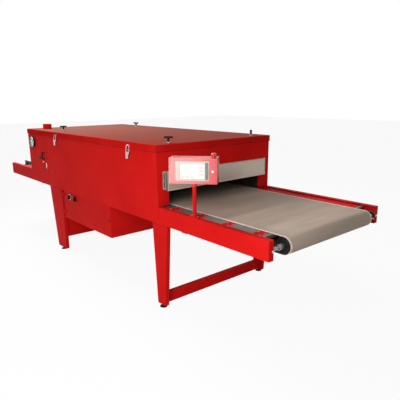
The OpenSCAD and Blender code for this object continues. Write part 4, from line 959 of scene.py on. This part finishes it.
# %% Glass, bezel, needle
glass, tree, shader = new_material("clear_glass")
preset(shader, {"Base Color": (0.96, 0.98, 0.97, 1), "Transmission Weight": 1.0, "IOR": 1.2})
smear = noise(tree, object_place(tree), 60.0, 5.0)
wire(tree, span(tree, smear, 0.45, 0.75, 0.02, 0.12), shader.inputs["Roughness"])
add_bump(tree, shader, smear, 0.03, 0.0001)
pane = mm((0, 0), (57.4, 0), (57.4, 1.6), (0, 2.2))
assemble("dial_glass", glass, "frame", "screen",
         (turned, (pane, 64), [((gauge.x, case_low.y + 0.0035, gauge.z), -Y)]))
bezel = mm((57.6, 0), (65.4, 0), (65.6, 2.2), (64.8, 4.2), (62.5, 4.6), (59, 4), (57.6, 2.2), (57.6, 0))
assemble("dial_bezel", steel, "frame", "bright_steel",
         (turned, (bezel, 72), [((gauge.x, case_low.y + 0.0046, gauge.z), -Y)]))
bm = bmesh.new()
pivot = dial_point(0, 0, 0.004)
t = math.radians(-135)
along, across = Vector((math.cos(t), 0, math.sin(t))), Vector((-math.sin(t), 0, math.cos(t)))
half_blade = [(0.03, 0.0016), (0, 0.0032), (-0.012, 0.0022)]
outline = [(0.048, 0)] + half_blade + [(a, -b) for a, b in reversed(half_blade)]
thin_plate(bm, [pivot + (along * a + across * b) - Y * 0.0006 for a, b in outline])
lifted = bmesh.ops.extrude_face_region(bm, geom=bm.faces[:])["geom"]
bmesh.ops.translate(bm, vec=-Y * 0.0008, verts=[v for v in lifted if isinstance(v, bmesh.types.BMVert)])
hub = mm((3.1, 0), (6, 0), (6, 2.2), (5.2, 3), (3.1, 3), (3.1, 0))
turned(bm, pivot, -Y, hub, 28)
put("needle_blade", bm, black_steel, "needle", ("thermometer_needle",))
print("needle pivot:", tuple(round(v, 3) for v in pivot))

# %% [markdown]
# ## Legs and feet
# Each leg ends in a nut and a threaded stud with a broad pad, so the machine can be levelled. The thread is
# a helix here, not a bump, because the stud stands free where the eye passes close to the floor.

# %% Feet and leg bolts
FEET = [(x, side * 0.611) for x in (1.0923, -0.9312) for side in (-1, 1)]
LEG_FACE = 0.6299
sole = mm((0, 0), (32.2, 0), (32.6, 0.8), (32.2, 3), (0, 3.2))
assemble("foot_soles", rubber, "frame", "bright_steel",
         (turned, (sole, 40), [((x, y, 0.0002), Z) for x, y in FEET]))
bm = bmesh.new()
for x, y in FEET:
    helix(bm, (x, y, 0.013), radius=0.0062, turn=0.5, rise=0.00014, steps=88, wire_radius=0.0007)
put("foot_threads", bm, steel, "frame")
large = [place for x in (1.03, 1.15, -1.105, -0.985, -0.865) for place in both_sides(x, LEG_FACE, 0.738)]
small = [place for x, z in ((1.0872, 0.045), (1.0872, 0.085), (-0.872, 0.22), (-0.872, 0.4), (-0.872, 0.58))
         for place in both_sides(x, LEG_FACE, z)]
assemble("leg_bolts", paint_red, "frame", "paint",
         (button_screw, (0.006,), large), (button_screw, (0.005,), small))
print("feet:", len(FEET), "leg bolts:", len(large + small))

# %% [markdown]
# ## Rollers under the belt and bearings
# The return rollers are plain tubes with a plastic cap at each end. The blocks of the end rollers slide in
# the rails and hold a ball bearing each; only its seal is seen. These are rings, turned in one pass each.

# %% Caps, seals, hanger screws
HANGER_FACE, BLOCK_FACE = 0.6138, 0.6176
cap = mm((0, 0), (15.7, 0), (15.7, 2.2), (14.5, 3.4), (0, 3.4))
seal = mm((12.4, 0), (23.5, 0), (23.5, 1.6), (21.5, 2.6), (12.4, 2))
for node in ("return_roller_front", "return_roller_rear"):
    x, y, z = middle(node)
    assemble(node + "_caps", black_plastic, BODY[node], "bright_steel",
             (turned, (cap, 36), both_sides(x, belt_half + 0.0002, z)))
    assemble(node + "_hanger_screws", steel, "frame", "bright_steel",
             (hex_head, (0.0055, 0.004), both_sides(x - 0.02, HANGER_FACE, z + 0.042, -1)
              + both_sides(x + 0.02, HANGER_FACE, z + 0.042, -1)))
ends = both_sides(idler_x, BLOCK_FACE, axis_z, -1) + both_sides(drive_x, BLOCK_FACE, axis_z, -1)
assemble("bearing_seals", black_plastic, "frame", "bright_steel", (turned, (seal, 40), ends))
print("return rollers: 2, bearing seals: 4")

# %% [markdown]
# ## Gearmotor
# The motor that pulls the belt sits outside the far rail. Its body has cooling fins round it and a cowl
# over the fan at the end. The fins are rings of one turned outline, because they stand out from the body
# and cast shadows.

# %% Fins, cowl grille, bolts
MOTOR_Y, FIN_R, FIN_STEP = 0.722, 0.0521, 0.0075
first_fin, last_fin, cowl_end = drive_x + 0.068, drive_x + 0.22, drive_x + 0.287
fin = [(0.05, 0), (FIN_R + 0.002, 0.0003), (FIN_R + 0.0022, 0.0011), (FIN_R + 0.002, 0.0019), (0.05, 0.0022)]
count = math.ceil((last_fin - first_fin) / FIN_STEP)
fins = [((first_fin + FIN_STEP * k, MOTOR_Y, axis_z), X) for k in range(count)]
assemble("motor_fins", cast, "frame", "zinc_sheet", (turned, (fin, 56), fins))
# Painted shade: thin black rings on the cowl's end stand for its slots and the shade behind them.
slots = []
for k in range(6):
    r = 0.012 + 0.0065 * k
    slot = [(r, 0), (r + 0.0032, 0), (r + 0.0032, 0.0003), (r, 0.0003), (r, 0)]
    slots.append((turned, (slot, 40), [((cowl_end + 0.0001, MOTOR_Y, axis_z), X)]))
assemble("cowl_slots", rubber, "frame", "zinc_sheet", *slots)
motor = [v.co for v in NODES["gearmotor"].data.vertices]
gear_face = max(c.y for c in motor if c.x < drive_x + 0.055)
cover = mm((0, 0), (30, 0), (30, 1.2), (27, 2.6), (0, 2.6))
corners = [((drive_x + dx, gear_face, axis_z + dz), Y) for dx in (-0.046, 0.046) for dz in (-0.046, 0.046)]
assemble("gearbox_cover", steel, "frame", "zinc_sheet", (hex_head, (0.0055, 0.004), corners),
         (turned, (cover, 48), [((drive_x, gear_face, axis_z), Y)]))
terminal = [c.x for c in motor if c.z > axis_z + 0.06]
corners = [((x, MOTOR_Y + dy, 0.8935), Z) for x in (min(terminal) + 0.006, max(terminal) - 0.006)
           for dy in (-0.019, 0.019)]
assemble("terminal_screws", steel, "frame", "zinc_sheet", (button_screw, (0.0026,), corners))
print("fins:", len(fins), "gearbox face at y:", round(gear_face, 3))

# %% [markdown]
# ## Latches, hinges, rear cover, exhaust
# Hardware is fixed with rivets and screws, and they tell the size of everything round them. One tool each
# for a rivet and a screw is enough; the lists below say where they sit.

# %% Rivets, hinge screws, inlet, lock, exhaust
latches = [middle(node).x for node in ("latch_lever_front", "latch_lever_rear")]
for name, body, spots in (("latch_rivets", "frame", [(0.0212, 0.67, 1.278), (0.0212, 0.67, 1.3285)]),
                          ("keeper_rivets", "lid", [(0.0191, 0.675, 1.372)])):
    places = [((x + side * dx, -y, z), -Y) for dx, y, z in spots for x in latches for side in (-1, 1)]
    assemble(name, steel, body, "bright_steel", (rivet, (0.0021,), places))
HINGE_START, HINGE_SPAN = -1.5987, 2.73
hinge_xs = [HINGE_START + share * HINGE_SPAN + dx for share in (0.14, 0.5, 0.86)
            for dx in (-0.045, -0.015, 0.015, 0.045)]
for name, y, z, body in (("hinge_screws_lower", 0.6729, 1.302, "frame"),
                         ("hinge_screws_upper", 0.6779, 1.37, "lid")):
    assemble(name, steel, body, "bright_steel", (button_screw, (0.0042,), [((x, y, z), Y) for x in hinge_xs]))
bm = bmesh.new()
for x in (-1.1858, -1.1618):
    button_screw(bm, (x, -0.6731, 1.0345), -Y, 0.004)
box_in(bm, (-1.2, -0.6746, 1.0268), (-1.135, -0.673, 1.0312))
bevel(bm, 0.0003, 1)
put("inlet_edge", bm, steel, "frame")
lock = [v.co for v in NODES["access_handle"].data.vertices if v.co.x < -1.235]
lx, lz = ((min(c[i] for c in lock) + max(c[i] for c in lock)) / 2 for i in (0, 2))
ly = min(c.y for c in lock)
core = mm((0, 0), (7.5, 0), (7.5, 1), (6.2, 1.8), (0, 1.8))
# Painted shade: a thin dark plate on the core stands for the keyway.
keyway = ((lx - 0.0008, ly - 0.0021, lz - 0.0035), (lx + 0.0008, ly - 0.0016, lz + 0.0035))
assemble("lock_core", black_steel, "frame", "black_plastic", (turned, (core, 32), [((lx, ly, lz), -Y)]))
assemble("lock_slot", rubber, "frame", "black_plastic", (box_in, (), [keyway]), rounded=(0.00015, 1))
sx, sy = middle("exhaust_stub").x, middle("exhaust_stub").y
bead = mm((49.8, 0), (51.5, 0.8), (52.1, 2.2), (51.5, 3.6), (49.8, 4.4))
brim = mm((49.9, 0), (50.8, 1), (50.8, 5), (49.5, 5.8), (47, 5.4))
angles = [math.pi * (k + 0.5) / 3 for k in range(6)]
flange = [((sx + 0.0555 * math.cos(t), sy + 0.0555 * math.sin(t), lid_top + 0.0046), Z) for t in angles]
assemble("stub_bead", paint_red, "lid", "paint", (turned, (bead, 64), [((sx, sy, 1.435), Z)]),
         (turned, (brim, 64), [((sx, sy, 1.447), Z)]), (button_screw, (0.0028,), flange))
print("lock at", round(lx, 3), round(lz, 3))

# %% [markdown]
# ## Heater and fan
# The emitters hang face down over the belt on a ladder of bars. Hex screws hold each panel to the bars. The
# fan has a small motor in the middle of its duct; its ribs and the cap of the hub are turned.

# %% Heater screws, fan ribs
low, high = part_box("heater_frame")
bar_step, bar_half = (high.x - low.x - 0.025) / 6, 0.0125
places = [((low.x + k * bar_step + bar_half, y, high.z), Z) for k in range(7)
          for y in (-0.42, -0.14, 0.14, 0.42)]
assemble("heater_screws", steel, BODY["heater_frame"], "zinc_sheet", (hex_head, (0.005, 0.0035), places))
FAN_X, FAN_Y = -1.3737, -0.507
fan_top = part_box("fan_impeller")[1].z
rib = mm((34, 0), (36.6, 0.4), (36.6, 1.6), (34, 2))
assemble("fan_motor_ribs", cast, "frame", "zinc_sheet",
         (turned, (rib, 48), [((FAN_X, FAN_Y, 1.152 + 0.006 * k), Z) for k in range(9)]))
cap = mm((0, 0), (22.5, 0), (21.5, 2), (12, 4.8), (0, 5.6))
assemble("fan_cap", steel, BODY["fan_impeller"], "bright_steel",
         (turned, (cap, 40), [((FAN_X, FAN_Y, fan_top - 0.0003), Z)]),
         (hex_head, (0.006, 0.0045), [((FAN_X, FAN_Y, fan_top + 0.0046), Z)]))
print("heater screws:", len(places), "fan ribs:", 9)

# %% [markdown]
# ## Electrical cabinet
# The near side has two rotary switches; the left one is the main switch, with a bright ring. Behind the
# door there is a row of breakers with levers, a slotted wiring duct, a power supply and a drive with
# cooling fins. A device is told by its front: lever, window, screws. So these get pieces of their own on
# the plain CAD blocks.

# %% Switch rings, marks, lock
DOOR = BODY["cabinet_door"]
DOOR_FACE, MARK_FACE = -0.634, -0.6343


def switch_details(node, material, angles):
    x, _, z = middle(node)
    collar = mm((26.2, 0), (33.5, 0), (33.5, 1.6), (31.8, 3), (26.8, 3), (26.2, 0))
    assemble(node + "_ring", material, DOOR, "bright_steel",
             (turned, (collar, 56), [((x, DOOR_FACE, z), -Y)]))
    bm = bmesh.new()
    for t in map(math.radians, angles):
        out, side = Vector((math.cos(t), 0, math.sin(t))), Vector((-math.sin(t), 0, math.cos(t))) * 0.0006
        a, b = (Vector((x, MARK_FACE, z)) + out * reach for reach in (0.0345, 0.037))
        thin_plate(bm, (a - side, a + side, b + side, b - side))
    bmesh.ops.solidify(bm, geom=bm.faces[:], thickness=0.0002)
    put(node + "_marks", bm, white_plastic, DOOR)
    line = ((x - 0.0011, -0.6606, z + 0.006), (x + 0.0011, -0.6598, z + 0.021))
    assemble(node + "_line", white_plastic, BODY[node], "black_plastic", (box_in, (), [line]),
             rounded=(0.0002, 1))


switch_details("isolator_knob", steel, (90, 0))
switch_details("selector_knob", black_plastic, (135, 90, 45))
lock = mm((0, 0), (14, 0), (14, 2), (12, 4), (7, 4), (6, 2.6), (0, 2.6))
assemble("door_lock", black_plastic, DOOR, "paint", (turned, (lock, 36), [((0.25, -0.63, 0.59), -Y)]))
x1, x2, z1, z2, wide = -0.77, 0.2735, 0.433, 0.743, 0.007
gasket = [((a, -0.6273, c), (b, -0.6272, d)) for a, b, c, d in (
    (x1, x2, z1, z1 + wide), (x1, x2, z2 - wide, z2), (x1, x1 + wide, z1 + wide, z2 - wide),
    (x2 - wide, x2, z1 + wide, z2 - wide))]
assemble("door_gasket", rubber, DOOR, "paint", (box_in, (), gasket), rounded=(0.00003, 1))
print("door body:", DOOR)

# %% Breakers, duct, supply, drive
fronts, levers, clamps = [], [], []
for k in range(6):
    x, y, z = -0.7023 + 0.105 * k, -0.1622, 0.5885
    fronts.append(((x + 0.002, y - 0.006, z + 0.03), (x + 0.082, y + 0.001, z + 0.075)))
    for pole in (x, x + 0.026, x + 0.052):
        levers.append(((pole + 0.011, y - 0.014, z + 0.052), (pole + 0.021, y - 0.005, z + 0.062)))
        clamps += [((pole + 0.016, y, z + dz), -Y) for dz in (0.012, 0.093)]
fronts.append(((-0.74, -0.11, 0.698), (0.243, -0.0573, 0.723)))
# Painted shade: 60 thin black plates on the duct's face stand for its slots.
levers += [((-0.732 + 0.016 * k, -0.1104, 0.699), (-0.727 + 0.016 * k, -0.1098, 0.714)) for k in range(60)]
for k in range(11):
    x = -0.138 + 0.028 * k
    fronts.append(((x, -0.1972, 0.486), (x + 0.004, -0.058, 0.4836)))
levers.append(((-0.02, -0.1974, 0.52), (0.06, -0.1966, 0.544)))
clamp = mm((0, 0.2), (3, 0.2), (4, 1.2), (5.2, 1.2), (5.6, 0))
supply = [((x, -0.1272, z), -Y) for x in (-0.69, -0.262) for z in (0.492, 0.545)]
devices = BODY["cabinet_devices"]
assemble("device_fronts", grey_plastic, devices, "zinc_sheet", (box_in, (), fronts), rounded=(0.001, 2))
assemble("device_levers", black_plastic, devices, "zinc_sheet", (box_in, (), levers), rounded=(0.0004, 2))
assemble("device_screws", steel, devices, "zinc_sheet",
         (turned, (clamp, 16), clamps), (button_screw, (0.0035,), supply))
print("fronts:", len(fronts), "levers and slots:", len(levers), "screws:", len(clamps + supply))
